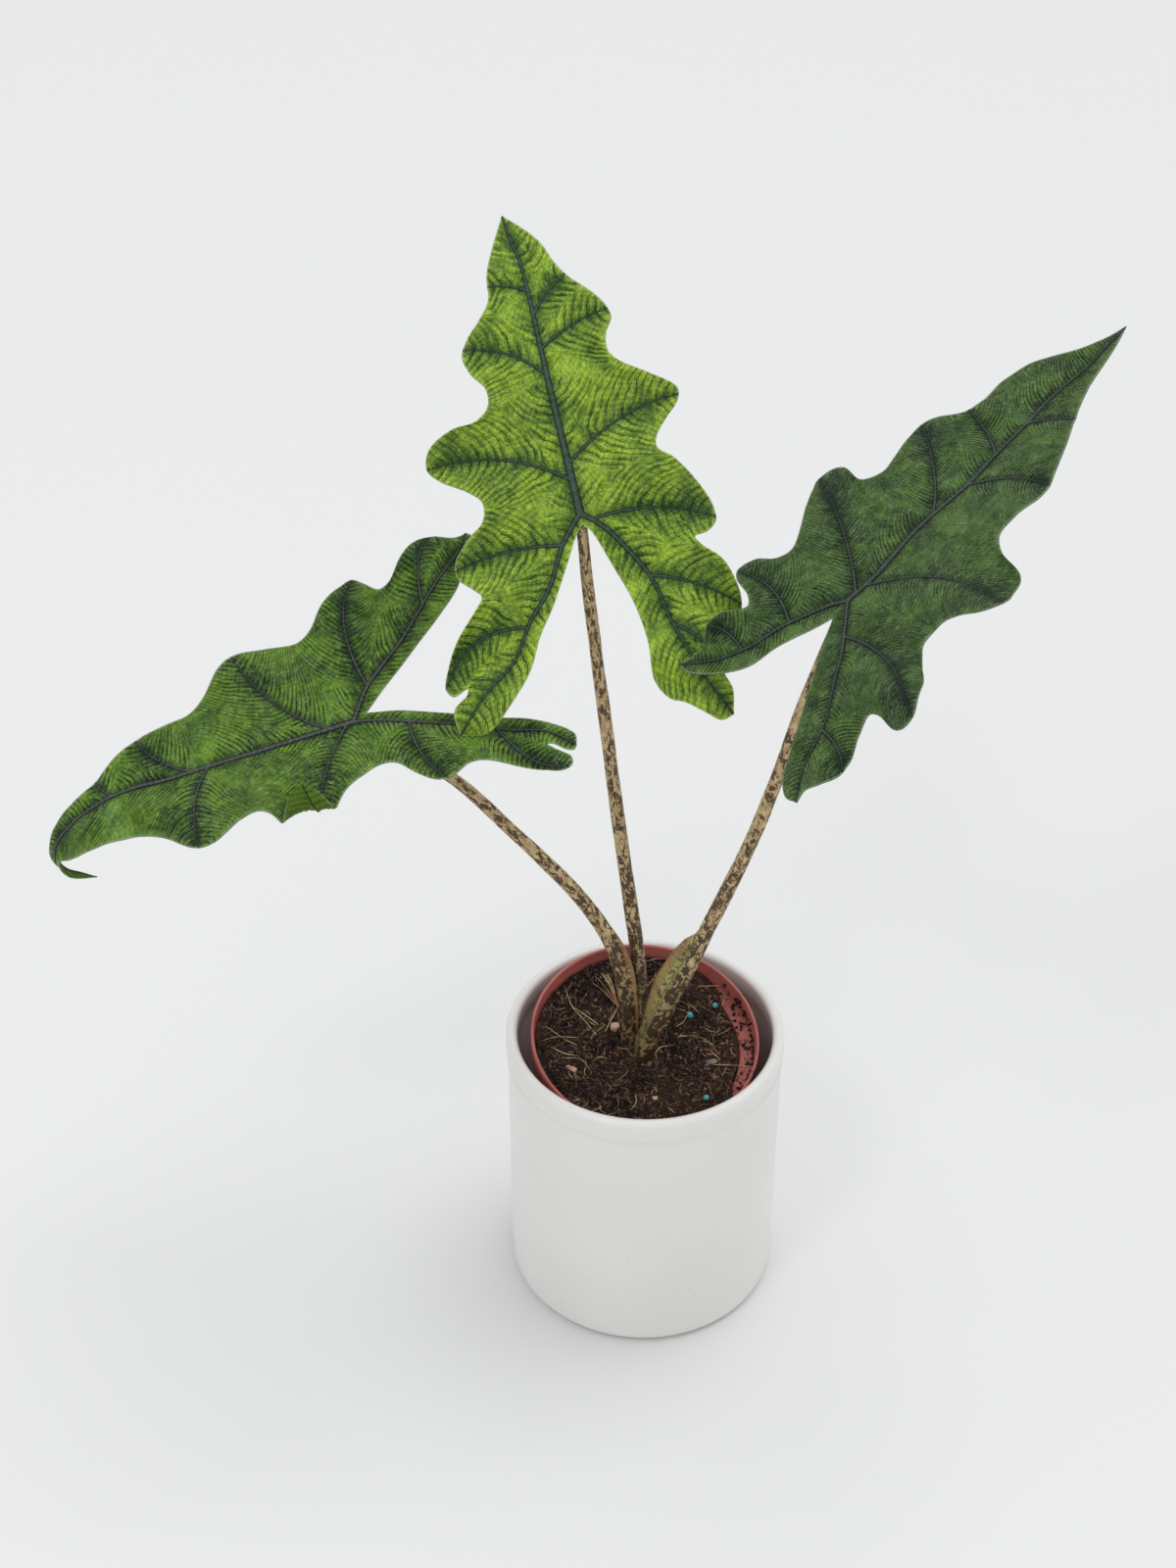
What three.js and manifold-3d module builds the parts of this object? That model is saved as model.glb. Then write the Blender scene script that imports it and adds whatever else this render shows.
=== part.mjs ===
// Potted jacklyn alocasia: three lobed leaves on long petioles, rooted in a plastic nursery pot
// that leans inside a plain glazed cachepot.
// Millimetres, +Z up. The origin is under the cachepot's axis on the surface it stands on, and
// the plant is seen from the -Y side.
import * as THREE from "three";
import { mergeVertices } from "three/addons/utils/BufferGeometryUtils.js";
import Module from "manifold-3d";

const wasm = await Module();
wasm.setup();

// Driving dimensions
const GAP = 0.35; // left between neighbours, and in the plain holes in the soil
const ROUND_SIDES = 64;

const CACHEPOT = {
  radius: 71.2,
  height: 162,
  wall: 4.2,
  floor: 7,
  footFillet: 6.5,
  lipProud: 0.8,
  lipBand: 12,
  lipWall: 6,
};

const NURSERY_POT = {
  rimRadius: 59,
  footRadius: 40,
  height: 150,
  wall: 1.5,
  collarHeight: 12.5,
  collarStep: 6.5,
  leanForward: 12,
  leanRight: 4.3,
  rimCentre: { x: 0.3, y: -6.7 },
  drainHoles: 6,
  drainRadius: 4,
  drainRing: 25,
};

const SOIL = {
  depth: 7,
  lumps: 1.1,
  mound: 3,
  moundAt: { x: -3, y: -3 },
  moundSpread: 16,
  dip: { depth: 4.6, from: 22, over: 26 }, // towards the right wall
  bareSide: { angle: 0.1, from: 0.72, over: 0.2 }, // where the ledge shows, told by the cosine
  ledgeZone: 12, // within this of the ledge's inner edge the soil lies above the ledge
  slack: 0.4,
  rings: 7,
  sectors: 36,
};

const CORM = { x: -3.5, y: -9, top: 142, radius: 14, height: 32, sides: 20 };
const ROOTS = { count: 6, length: 34, thick: 2.4, thin: 0.9, reaches: [4, 13, 19, 21] };

const BEADS = [
  { name: "fertiliser_bead_back", x: 23.5, y: 18, radius: 1.6 },
  { name: "fertiliser_bead_right", x: 37, y: 27.5, radius: 1.5 },
  { name: "fertiliser_bead_front", x: 32, y: -32, radius: 1.6 },
];

const BLADE = {
  thickness: 0.8,
  quilt: 1.7, // how far the blade swells between two veins
  ribRidge: 1.5, // height of the ribs under the blade
  veinRidge: 0.7,
  ridgeFlank: 1.5,
  edgeStep: 8,
  ribStep: 12,
};

// Each petiole runs from its blade down to the corm. Radii are given along its length, as
// [fraction, radius]. The lower part is a sheath: a channel on the side it faces, between two
// lips, whose heights are given along the length as [fraction, first, second] in radii.
const PETIOLES = {
  left: {
    path: [
      [-138, -12, 359.6], [-120.3, -12.3, 349.2], [-105.5, -11.7, 338], [-89.4, -10.5, 323.5],
      [-78.8, -10.2, 311.9], [-69.3, -9.9, 300.1], [-59.2, -9.6, 288.2], [-49.4, -9.3, 276.2],
      [-39.8, -9, 264], [-31.2, -8.7, 251.6], [-23.9, -8.5, 239.1], [-19.5, -8.3, 230.3],
      [-16.3, -8.2, 222.1], [-14, -8.1, 213.3], [-11.5, -8.1, 201.7], [-9.6, -8, 184.3],
      [-8.9, -8, 171], [-8.5, -8, 157], [-8.5, -8, 142.5],
    ],
    radii: [[0, 2.4], [0.45, 3.35], [0.68, 3.95], [1, 4]],
    sheath: {
      faces: [0.85, 0.4, 0.5],
      lips: [[0.62, 0, 0], [0.7, 0.2, 0.65], [0.75, 0.2, 0.85], [0.82, 0.1, 0.6],
        [1, 0.1, 0.4]],
      groove: 0.25,
    },
  },
  middle: {
    path: [
      [-33.3, 24.5, 451], [-31.5, 22.7, 433.6], [-29.7, 21, 413.7], [-27.3, 18.8, 393.8],
      [-25, 16.5, 373.5], [-22.3, 14, 353], [-19.7, 11.4, 332.1], [-17.2, 9, 310.6],
      [-14.4, 6.4, 289], [-11.5, 3.6, 266.9], [-8.4, 0.6, 244.6], [-5.2, -2.3, 220.8],
      [-3.6, -3.8, 204.9], [-2.6, -4.7, 191.9], [-1.7, -5.2, 179.9], [-1.1, -5.3, 165.3],
      [-1, -5.3, 155], [-1, -5.3, 142.5],
    ],
    radii: [[0, 2.65], [0.55, 3.4], [0.8, 3.75], [0.92, 3.6]],
    sheath: {
      faces: [0.2, 1, 0.2],
      lips: [[0.8, 0, 0], [0.88, 0.1, 0.1], [1, 0.1, 0.1]],
      groove: 0.2,
    },
  },
  right: {
    path: [
      [85.5, -25, 437.5], [78.8, -24.2, 415.2], [72.1, -23.3, 391.1], [66.4, -22.5, 368.9],
      [61.3, -21.9, 346.3], [55.5, -21.2, 323], [48.7, -20.3, 299], [40.5, -19.3, 274.1],
      [31.6, -18.2, 248.5], [22.1, -17, 222.4], [12.5, -16, 198.7], [6.5, -16, 181.2],
      [1.5, -15.8, 168.5], [-0.6, -15.6, 157], [-1, -15.5, 142.5],
    ],
    radii: [[0, 2.4], [0.5, 3.55], [0.66, 3.85], [0.72, 4.6], [0.8, 5.5], [0.88, 5.8]],
    sheath: {
      faces: [-0.95, -0.15, 0.3],
      lips: [[0.675, 0, 0], [0.7, 0.1, 0.8], [0.74, 0.12, 1.15], [0.8, 0.15, 1.1],
        [0.85, 0.15, 0.7], [0.9, 0.15, 0.1], [1, 0.1, 0]],
      groove: 0.35,
    },
  },
};
const PETIOLE_SIDES = 18; // so that a lip stands on a corner
const PETIOLE_RINGS = 28;
const LIP_ANGLE = 0.7; // from the middle of the channel to a lip
const LIP_WIDTH = 0.3;

// A blade lies flat on the two numbers [a, b]: a runs along the midrib from the petiole towards
// the tip, b across it, left being positive when the tip points away and the upper face is up.
// size enlarges the whole blade. droop is the midrib's slope in degrees at places along a. A
// half rises from the midrib by rise degrees and falls again by fall degrees a millimetre. The
// margin waves up and down. An edge runs from the tip to the end of the back lobe, and inner
// from there to the sinus.
const LEAVES = {
  left: {
    origin: [-138, -12, 359.6],
    size: 1,
    tipward: [-0.951, -0.244, -0.188],
    upward: [-0.17, -0.095, 0.98],
    droop: [[-110, -10], [0, 0], [60, 2], [115, 10], [128, 25], [136, 44], [144, 57],
      [169, 66], [174, 115], [178, 150], [192, 163]],
    riseLeft: [[60, 4], [110, -14], [140, -22]],
    riseRight: [[0, 30]],
    fallLeft: 0.2,
    fallRight: 0.12,
    wave: { height: 2.5, crest: 80, pitch: 50 },
    flap: { centre: 30, half: 17, start: 44.5, width: 14, turn: 135 },
    rib: [[0, 0], [43, 1], [75, 0], [90, -1], [105, -4], [119, -5], [130, -5.5], [141, -9.3],
      [148, -12.1], [154.5, -15.2], [162, -17.7], [169, -18.5], [176, -17], [188, -14.5]],
    sinus: [-7, -3],
    left: {
      lobeRib: [[0, 0], [-9, 3], [-22, 9], [-35, 16], [-60, 29], [-83, 38], [-95, 54]],
      edge: [[188, -14.5], [182, -12.5], [176, -11.5], [169.7, -12.5], [160, -3],
        [148.6, 7.7], [135.4, 16.1], [126, 19.3], [117, 22.7], [109, 25.5], [97, 33],
        [86, 43], [74, 47], [60, 46], [51, 44], [46, 47], [41, 56], [35, 63], [28, 65],
        [21, 62], [15, 53], [10, 47], [1, 41], [-7, 36], [-14, 36], [-22, 45], [-31, 54],
        [-39, 56], [-46, 52], [-55, 51], [-68, 55], [-80, 62], [-86, 66.5], [-90, 66],
        [-91, 61.5], [-88.5, 57], [-85, 52], [-81, 46.5], [-85, 48.5], [-90, 55.5],
        [-93, 57], [-95, 54]],
      inner: [[-95, 54], [-96, 47], [-90, 38], [-78, 28], [-59, 21], [-40, 11], [-23, 2],
        [-14, -1], [-7, -3]],
      veins: [
        { from: [69, 0], to: [82, 44], bow: 0.08 },
        { from: [4, 0], to: [28, 65], bow: 0.04 },
        { from: [-25, 11], to: [-35, 55], bow: 0.08 },
        { from: [-63, 30], to: [-88, 64], bow: 0.08 },
      ],
    },
    right: {
      lobeRib: [[0, 0], [-5, -9], [-11, -18], [-19, -26], [-37, -42], [-51, -58], [-66, -82],
        [-74, -97]],
      edge: [[188, -14.5], [182, -16.5], [177, -19.5], [171, -22.5], [165, -22.8],
        [157.6, -21.9], [152, -20.4], [144.3, -18.5], [137, -16.2], [129, -15.5],
        [122, -16.8], [111, -23], [99, -27], [84, -30], [72, -31], [64, -36], [54, -47],
        [44, -53], [30, -54], [15, -49], [8, -52], [0, -63], [-10, -75], [-17, -82],
        [-22, -77], [-28, -69], [-33, -69], [-41, -77], [-53, -86], [-62, -93], [-69, -96],
        [-74, -97]],
      inner: [[-74, -97], [-76, -92], [-70, -77], [-62, -58], [-50, -42], [-34, -28],
        [-18, -14], [-7, -3]],
      veins: [
        { from: [117, -6], to: [123, -17], bow: 0.06 },
        { from: [77, 0], to: [100, -27], bow: 0.08 },
        { from: [12, 0], to: [47, -52], bow: 0.08 },
        { from: [-11, -18], to: [-17, -82], bow: 0.1 },
        { from: [-45, -51], to: [-54, -87], bow: 0.06 },
      ],
    },
  },
  middle: {
    origin: [-33.3, 24.5, 451],
    size: 1.022,
    tipward: [-0.25, 0.56, 0.79],
    upward: [0, -0.8, 0.6],
    droop: [[-110, -17], [-60, -2.8], [0, 0], [60, 4], [140, 18]],
    riseLeft: [[0, 12]],
    riseRight: [[0, 12]],
    fallLeft: 0.3,
    fallRight: 0.3,
    wave: { height: 2.5, crest: 80, pitch: 45 },
    rib: [[0, 0], [60, 0], [118, 0], [130, 2], [142, 3]],
    sinus: [-5, 0],
    left: {
      lobeRib: [[0, 0], [-4, 4], [-12, 11], [-29, 21], [-42, 33], [-57, 44], [-69, 61],
        [-83, 75]],
      edge: [[142, 3], [134, 7], [124, 12], [114, 16], [102, 18], [94, 24], [87, 31],
        [80, 35], [71, 33], [63, 28], [55, 29], [50, 36], [49, 47], [43, 59], [35, 62],
        [28, 57], [20, 46], [14, 41], [6, 43], [1, 50], [-8, 59], [-15, 60], [-22, 54],
        [-26, 51], [-31, 55], [-43, 67], [-52, 73], [-62, 77], [-66, 74], [-64, 67],
        [-67, 68], [-72, 75], [-83, 75]],
      inner: [[-83, 75], [-85, 66], [-84, 61], [-76, 51], [-63, 38], [-49, 30], [-37, 21],
        [-21, 11], [-8, 3], [-5, 0]],
      veins: [
        { from: [102, 0], to: [109, 17], bow: 0.08 },
        { from: [63, 0], to: [83, 34], bow: 0.1 },
        { from: [14, 0], to: [35, 62], bow: 0.1 },
        { from: [-12, 11], to: [-12, 60], bow: 0.06 },
        { from: [-44, 35], to: [-62, 77], bow: 0.18 },
      ],
    },
    right: {
      lobeRib: [[0, 0], [-6, -7], [-14, -13], [-35, -24], [-54, -28], [-68, -32], [-83, -37],
        [-103, -46]],
      edge: [[142, 3], [134, -4], [124, -11], [113, -15], [104, -20], [96, -27], [89, -32],
        [82, -34], [75, -30], [67, -29], [61, -33], [53, -44], [44, -55], [39, -54],
        [32, -47], [25, -41], [20, -40], [14, -46], [3, -53], [-9, -58], [-17, -58],
        [-21, -53], [-22, -47], [-26, -49], [-35, -57], [-50, -61], [-58, -60], [-72, -52],
        [-82, -46], [-91, -48], [-103, -46]],
      inner: [[-103, -46], [-104, -40], [-98, -33], [-92, -26], [-89, -20], [-80, -15],
        [-62, -16], [-44, -14], [-27, -9], [-9, -3], [-5, 0]],
      veins: [
        { from: [90, 0], to: [106, -18], bow: 0.06 },
        { from: [74, 0], to: [86, -34], bow: 0.06 },
        { from: [21, 0], to: [41, -55], bow: 0.08 },
        { from: [-4, -4], to: [-15, -58], bow: 0.08 },
        { from: [-34, -24], to: [-56, -60], bow: 0.06 },
        { from: [-57, -29], to: [-80, -46], bow: 0.08 },
      ],
    },
  },
  right: {
    origin: [85.5, -25, 437.5],
    size: 1.01,
    tipward: [0.669, 0.553, 0.497],
    upward: [-0.537, -0.102, 0.837],
    droop: [[-110, -35], [-40, -12], [0, 0], [60, 2], [180, 14]],
    riseLeft: [[0, 23]],
    riseRight: [[0, 8]],
    fallLeft: 0.15,
    fallRight: 0.2,
    wave: { height: 2.5, crest: 88, pitch: 46 },
    rib: [[0, 0], [18, -2], [44, 0], [76, -3], [91, -1], [118, 2], [133, 5], [159, 7],
      [171, 10], [189, 14]],
    sinus: [-10, -1],
    left: {
      lobeRib: [[0, 0], [-5, 6], [-12, 11], [-25, 19], [-38, 26], [-50, 39], [-60, 56]],
      edge: [[189, 14], [177, 15], [164, 18], [152, 24], [143, 29], [129, 31], [115, 28],
        [104, 31], [96, 40], [90, 44], [81, 42], [68, 37], [60, 36], [52, 43], [53, 55],
        [49, 62], [43, 66], [37, 62], [28, 54], [17, 46], [7, 43], [0, 48], [-5, 58],
        [-12, 60], [-17, 55], [-21, 43], [-25, 39], [-34, 50], [-41, 54], [-49, 51],
        [-60, 56]],
      inner: [[-60, 56], [-61, 48], [-55, 33], [-46, 21], [-33, 14], [-18, 4], [-10, -1]],
      veins: [
        { from: [94, 0], to: [107, 30], bow: 0.06 },
        { from: [55, 0], to: [90, 44], bow: 0.06 },
        { from: [4, 0], to: [44, 66], bow: 0.05 },
        { from: [-22, 17], to: [-14, 59], bow: 0.12 },
        { from: [-42, 30], to: [-40, 54], bow: 0.1 },
      ],
    },
    right: {
      lobeRib: [[0, 0], [-7, -7], [-16, -16], [-27, -26], [-45, -35], [-65, -42],
        [-88, -45]],
      edge: [[189, 14], [176, 7], [159, -1], [147, -7], [127, -20], [108, -35], [93, -42],
        [77, -48], [64, -49], [55, -48], [49, -54], [44, -69], [35, -75], [28, -81],
        [21, -83], [17, -79], [12, -67], [7, -60], [-3, -57], [-9, -62], [-15, -70],
        [-22, -81], [-31, -86], [-38, -82], [-42, -75], [-40, -65], [-42, -59], [-52, -59],
        [-63, -66], [-70, -67], [-76, -59], [-82, -49], [-88, -45]],
      inner: [[-88, -45], [-88, -38], [-84, -34], [-72, -31], [-56, -24], [-39, -17],
        [-24, -9], [-10, -1]],
      veins: [
        { from: [116, 2], to: [126, -21], bow: 0.05 },
        { from: [75, -3], to: [88, -45], bow: 0.08 },
        { from: [10, 0], to: [25, -82], bow: 0.1 },
        { from: [-16, -16], to: [-35, -85], bow: 0.1 },
        { from: [-56, -39], to: [-67, -67], bow: 0.06 },
      ],
    },
  },
};

const MATERIALS = {
  glaze: { color: 0xd3d2cf, roughness: 0.28, metalness: 0 },
  terracottaPlastic: { color: 0xb9705a, roughness: 0.55, metalness: 0 },
  peat: { color: 0x33251d, roughness: 1, metalness: 0 },
  corm: { color: 0x8a6f52, roughness: 0.8, metalness: 0 },
  petiole: { color: 0xb49a78, roughness: 0.5, metalness: 0 },
  leafYoung: { color: 0x86a63c, roughness: 0.45, metalness: 0 },
  leafMature: { color: 0x5f7f47, roughness: 0.45, metalness: 0 },
  leafOld: { color: 0x4d6350, roughness: 0.45, metalness: 0 },
  bead: { color: 0x3f9c97, roughness: 0.4, metalness: 0 },
};

const radians = THREE.MathUtils.degToRad;
const mix = THREE.MathUtils.lerp;
const clamp01 = (x) => Math.min(1, Math.max(0, x));
const smooth01 = (x) => clamp01(x) ** 2 * (3 - 2 * clamp01(x));

// Reads a table of [place, value] pairs between its places, and holds the end values beyond.
function tableAt(table, x) {
  if (x <= table[0][0]) return table[0][1];
  for (let i = 1; i < table.length; i++) {
    const [x0, y0] = table[i - 1];
    const [x1, y1] = table[i];
    if (x <= x1) return mix(y0, y1, (x - x0) / (x1 - x0));
  }
  return table.at(-1)[1];
}

function named(name, geometry, finish) {
  const mesh = new THREE.Mesh(geometry, new THREE.MeshStandardMaterial(finish));
  mesh.name = name;
  return mesh;
}

// Boolean work on closed meshes
function solidOf(geometry) {
  const bare = geometry.clone();
  bare.deleteAttribute("normal");
  bare.deleteAttribute("uv");
  const merged = mergeVertices(bare, 1e-4);
  return new wasm.Manifold(new wasm.Mesh({
    numProp: 3,
    vertProperties: merged.attributes.position.array,
    triVerts: new Uint32Array(merged.index.array),
  }));
}

function geometryOf(solid) {
  const { vertProperties, triVerts, numProp, numVert } = solid.getMesh();
  const places = new Float32Array(numVert * 3);
  for (let i = 0; i < numVert; i++) {
    places.set(vertProperties.subarray(i * numProp, i * numProp + 3), i * 3);
  }
  const geometry = new THREE.BufferGeometry();
  geometry.setAttribute("position", new THREE.BufferAttribute(places, 3));
  geometry.setIndex(new THREE.BufferAttribute(triVerts, 1));
  geometry.computeVertexNormals();
  return geometry;
}

// A closed [radius, height] profile turned about the upright axis.
function turned(profile, sides = ROUND_SIDES) {
  const points = profile.map(([r, z]) => new THREE.Vector2(r, z));
  return new THREE.LatheGeometry(points, sides).rotateX(Math.PI / 2);
}

// Points on a quarter or other arc of a profile, from one angle to another in degrees.
function arc(r, z, radius, from, to, steps) {
  return Array.from({ length: steps + 1 }, (_, i) => {
    const angle = radians(mix(from, to, i / steps));
    return [r + radius * Math.cos(angle), z + radius * Math.sin(angle)];
  });
}

// Cachepot: one cast and glazed cylinder with a full flat foot and a low band round its lip.
function cachepotGeometry() {
  const { radius, height, wall, floor, footFillet, lipProud, lipBand, lipWall } = CACHEPOT;
  const lipOuter = radius + lipProud;
  const lipInner = lipOuter - lipWall;
  const lipRound = lipWall / 2;
  const inner = radius - wall;
  const bandFoot = height - lipBand;
  return turned([
    [0, 0],
    ...arc(radius - footFillet, footFillet, footFillet, -90, 0, 3),
    [radius, bandFoot - 1.5],
    [lipOuter, bandFoot],
    ...arc(lipOuter - lipRound, height - lipRound, lipRound, 0, 180, 6),
    [lipInner, bandFoot],
    [inner, bandFoot - 1.5],
    ...arc(inner - footFillet, floor + footFillet, footFillet, 0, -90, 2),
    [0, floor],
  ]);
}

// Nursery pot, with its rim's plane at z = 0: a stepped collar, a tapered body and a drained floor.
function nurseryPotGeometry() {
  const { rimRadius, footRadius, height, wall, collarHeight, collarStep } = NURSERY_POT;
  const neck = rimRadius - 1 - collarStep;
  const shell = solidOf(turned([
    [0, -height],
    [footRadius - 1, -height],
    [footRadius, -height + 1],
    [neck, -collarHeight],
    [rimRadius - 0.8, -collarHeight],
    [rimRadius, -1],
    [rimRadius - 0.5, -0.2],
    [rimRadius - 1.1, 0],
    [rimRadius - 1.7, -0.8],
    [rimRadius - 0.8 - wall, wall - collarHeight],
    [neck - wall, wall - collarHeight],
    [footRadius - wall, wall - height],
    [0, wall - height],
  ]));
  return geometryOf(shell.subtract(drainHolesSolid()));
}

function drainHolesSolid() {
  const { drainHoles, drainRadius, drainRing, height, wall } = NURSERY_POT;
  const holes = Array.from({ length: drainHoles }, (_, i) => {
    const angle = (2 * Math.PI * i) / drainHoles;
    const hole = new THREE.CylinderGeometry(drainRadius, drainRadius, 4 * wall, 12);
    hole.rotateX(Math.PI / 2);
    hole.translate(drainRing * Math.cos(angle), drainRing * Math.sin(angle), wall / 2 - height);
    return solidOf(hole);
  });
  return holes.reduce((all, hole) => all.add(hole));
}

// The pot stands on the front edge of its foot and leans its rim on the cachepot's lip.
function nurseryPotMatrix() {
  const { rimCentre, leanForward, leanRight, footRadius, height } = NURSERY_POT;
  const lean = radians(Math.hypot(leanForward, leanRight));
  const rimHeight = CACHEPOT.floor + GAP + footRadius * Math.sin(lean) + height * Math.cos(lean);
  const turn = new THREE.Euler(radians(leanForward), radians(leanRight), 0);
  return new THREE.Matrix4()
    .makeRotationFromEuler(turn)
    .setPosition(rimCentre.x, rimCentre.y, rimHeight);
}

// Soil, in the nursery pot's own frame: a lumpy top, highest round the stems, that stops short
// of the collar on the right, where the pot's ledge shows.
function soilRadiusAt(angle) {
  const { rimRadius, wall, collarStep } = NURSERY_POT;
  const { bareSide, slack } = SOIL;
  const full = rimRadius - 1 - wall - GAP - slack;
  const bare = smooth01((Math.cos(angle - bareSide.angle) - bareSide.from) / bareSide.over);
  return mix(full, full - collarStep, bare);
}

// The soil's height: it never falls below the pot's ledge where it nears it.
function soilTopAt(x, y) {
  const { depth, lumps, mound, moundAt, moundSpread, dip, ledgeZone } = SOIL;
  const { wall, collarHeight, rimRadius, collarStep } = NURSERY_POT;
  const far = Math.hypot(x - moundAt.x, y - moundAt.y) / moundSpread;
  const dipped = dip.depth * smooth01((x - dip.from) / dip.over);
  const waves = Math.sin(x / 4.1 + 0.7) * Math.cos(y / 3.7 - 0.4)
    + 0.6 * Math.sin((x + y) / 2.9 + 1.9) + 0.5 * Math.cos((x - 1.7 * y) / 6.3);
  const top = -depth - dipped + mound * Math.exp(-far * far) + 0.5 * lumps * waves;
  const nearLedge = Math.hypot(x, y) > rimRadius - collarStep - wall - ledgeZone;
  return nearLedge ? Math.max(top, wall - collarHeight + 3 * GAP) : top;
}

function soilGeometry(cutters) {
  const { rings, sectors, slack } = SOIL;
  const { footRadius, height, wall, collarHeight, rimRadius, collarStep } = NURSERY_POT;
  const ledge = wall - collarHeight;
  const neck = rimRadius - 1 - collarStep - wall - GAP - slack / 2;
  const loops = [];
  for (let j = 1; j <= rings; j++) {
    loops.push((angle) => {
      const r = soilRadiusAt(angle) * (j / rings);
      const [x, y] = [r * Math.cos(angle), r * Math.sin(angle)];
      return [x, y, soilTopAt(x, y)];
    });
  }
  loops.push((angle) => {
    const r = soilRadiusAt(angle) - 0.1;
    const [x, y] = [r * Math.cos(angle), r * Math.sin(angle)];
    return [x, y, ledge + GAP];
  });
  for (const z of [ledge + GAP, ledge - 2]) {
    loops.push((angle) => [neck * Math.cos(angle), neck * Math.sin(angle), z]);
  }
  loops.push((angle) => {
    const r = footRadius - wall - GAP - 0.5;
    return [r * Math.cos(angle), r * Math.sin(angle), wall - height + GAP];
  });
  const points = [[0, 0, soilTopAt(0, 0)]];
  for (const loop of loops) {
    for (let i = 0; i < sectors; i++) points.push(loop((2 * Math.PI * i) / sectors));
  }
  points.push([0, 0, wall - height + GAP]);
  const last = points.length - 1;
  const faces = [];
  for (let i = 0; i < sectors; i++) {
    const next = (i + 1) % sectors;
    faces.push(0, 1 + i, 1 + next);
    for (let j = 1; j < loops.length; j++) {
      const a = 1 + (j - 1) * sectors;
      const b = a + sectors;
      faces.push(a + i, b + i, b + next, a + i, b + next, a + next);
    }
    const foot = 1 + (loops.length - 1) * sectors;
    faces.push(last, foot + next, foot + i);
  }
  const block = solidOf(meshOf(points, faces));
  const cut = cutters.reduce((soil, cutter) => soil.subtract(cutter), block);
  const crumbs = cut.decompose().sort((one, other) => other.volume() - one.volume());
  return geometryOf(crumbs[0]); // what the stems cut off between them is left out
}

function meshOf(points, faces) {
  const geometry = new THREE.BufferGeometry();
  geometry.setAttribute("position", new THREE.Float32BufferAttribute(points.flat(), 3));
  geometry.setIndex(faces);
  geometry.computeVertexNormals();
  return geometry;
}

// A closed bar carried along a curve, its rings turned so that their first point lies on the
// side that faces. section(fraction, angle) gives its radius, the angle being measured from
// there, and place(point, ring) may move a point of a ring.
function sweep(curve, rings, sides, faces, section, place = (point) => point) {
  const points = [];
  for (let j = 0; j <= rings; j++) {
    const centre = curve.getPointAt(j / rings);
    const tangent = curve.getTangentAt(j / rings);
    const toward = faces.clone().addScaledVector(tangent, -faces.dot(tangent)).normalize();
    const beside = tangent.clone().cross(toward);
    for (let i = 0; i < sides; i++) {
      const turn = (2 * Math.PI * i) / sides;
      const radius = section(j / rings, turn > Math.PI ? turn - 2 * Math.PI : turn);
      const point = centre.clone().addScaledVector(toward, radius * Math.cos(turn))
        .addScaledVector(beside, radius * Math.sin(turn));
      points.push(place(point, j).toArray());
    }
  }
  const strips = [];
  for (let j = 0; j < rings; j++) {
    for (let i = 0; i < sides; i++) {
      const a = j * sides + i;
      const b = j * sides + ((i + 1) % sides);
      strips.push(a, b, b + sides, a, b + sides, a + sides);
    }
  }
  for (let i = 1; i < sides - 1; i++) {
    strips.push(0, i + 1, i);
    const top = rings * sides;
    strips.push(top, top + i, top + i + 1);
  }
  return meshOf(points, strips);
}

const curveThrough = (points) =>
  new THREE.CatmullRomCurve3(points.map((p) => new THREE.Vector3(...p)), false, "centripetal");

// Petiole: round and slender above, a channelled sheath with two lips below. Its top is cut to
// lie along the underside of its blade. grow makes the wider bar that cuts its hole in the soil.
function petioleGeometry({ path, radii, sheath }, leaf, grow = 0) {
  const curve = curveThrough(path);
  const facing = new THREE.Vector3(...sheath.faces);
  const firstLips = sheath.lips.map(([fraction, first]) => [fraction, first]);
  const secondLips = sheath.lips.map(([fraction, , second]) => [fraction, second]);
  const start = sheath.lips[0][0];
  const section = (fraction, angle) => {
    const lip = (side) => Math.exp(-(((angle - side * LIP_ANGLE) / LIP_WIDTH) ** 2));
    const lips = tableAt(firstLips, fraction) * lip(-1)
      + tableAt(secondLips, fraction) * lip(1);
    const open = sheath.groove * smooth01((fraction - start) / 0.1);
    const channel = open * Math.exp(-((angle / LIP_ANGLE) ** 2) * 3);
    return tableAt(radii, fraction) * (1 + lips - channel) + grow;
  };
  const { origin, upward } = frameOf(leaf);
  const seat = BLADE.thickness + GAP;
  const tangent = curve.getTangentAt(0);
  const mitre = (point, ring) => {
    if (ring === PETIOLE_RINGS) point.z -= 6 * grow;
    if (ring > 0 || grow) return point;
    const height = point.clone().sub(origin).dot(upward) + seat;
    return point.addScaledVector(tangent, -height / tangent.dot(upward));
  };
  return sweep(curve, PETIOLE_RINGS, PETIOLE_SIDES, facing, section, mitre);
}

// Corm: the swollen stem base that the petioles grow from, with its thickest roots.
function cormSolid(grow = 0) {
  const { x, y, top, radius, height, sides } = CORM;
  const half = height / 2;
  const flat = 0.86; // how much of the upper half is left under the leaf bases
  const profile = [[0, -half - grow]];
  for (let i = 1; i <= 8; i++) {
    const z = mix(-half, half * flat, i / 8);
    profile.push([radius * Math.sqrt(1 - (z / half) ** 2) + grow, z + (i === 8 ? grow : 0)]);
  }
  profile.push([0, half * flat + grow]);
  const body = turned(profile, sides).translate(x, y, top - half * flat);
  return rootCurves().reduce((all, curve) => {
    const taper = (fraction) => mix(ROOTS.thick, ROOTS.thin, fraction) + grow;
    return all.add(solidOf(sweep(curve, 5, 6, new THREE.Vector3(0, 0.2, 1), taper)));
  }, solidOf(body));
}

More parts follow.
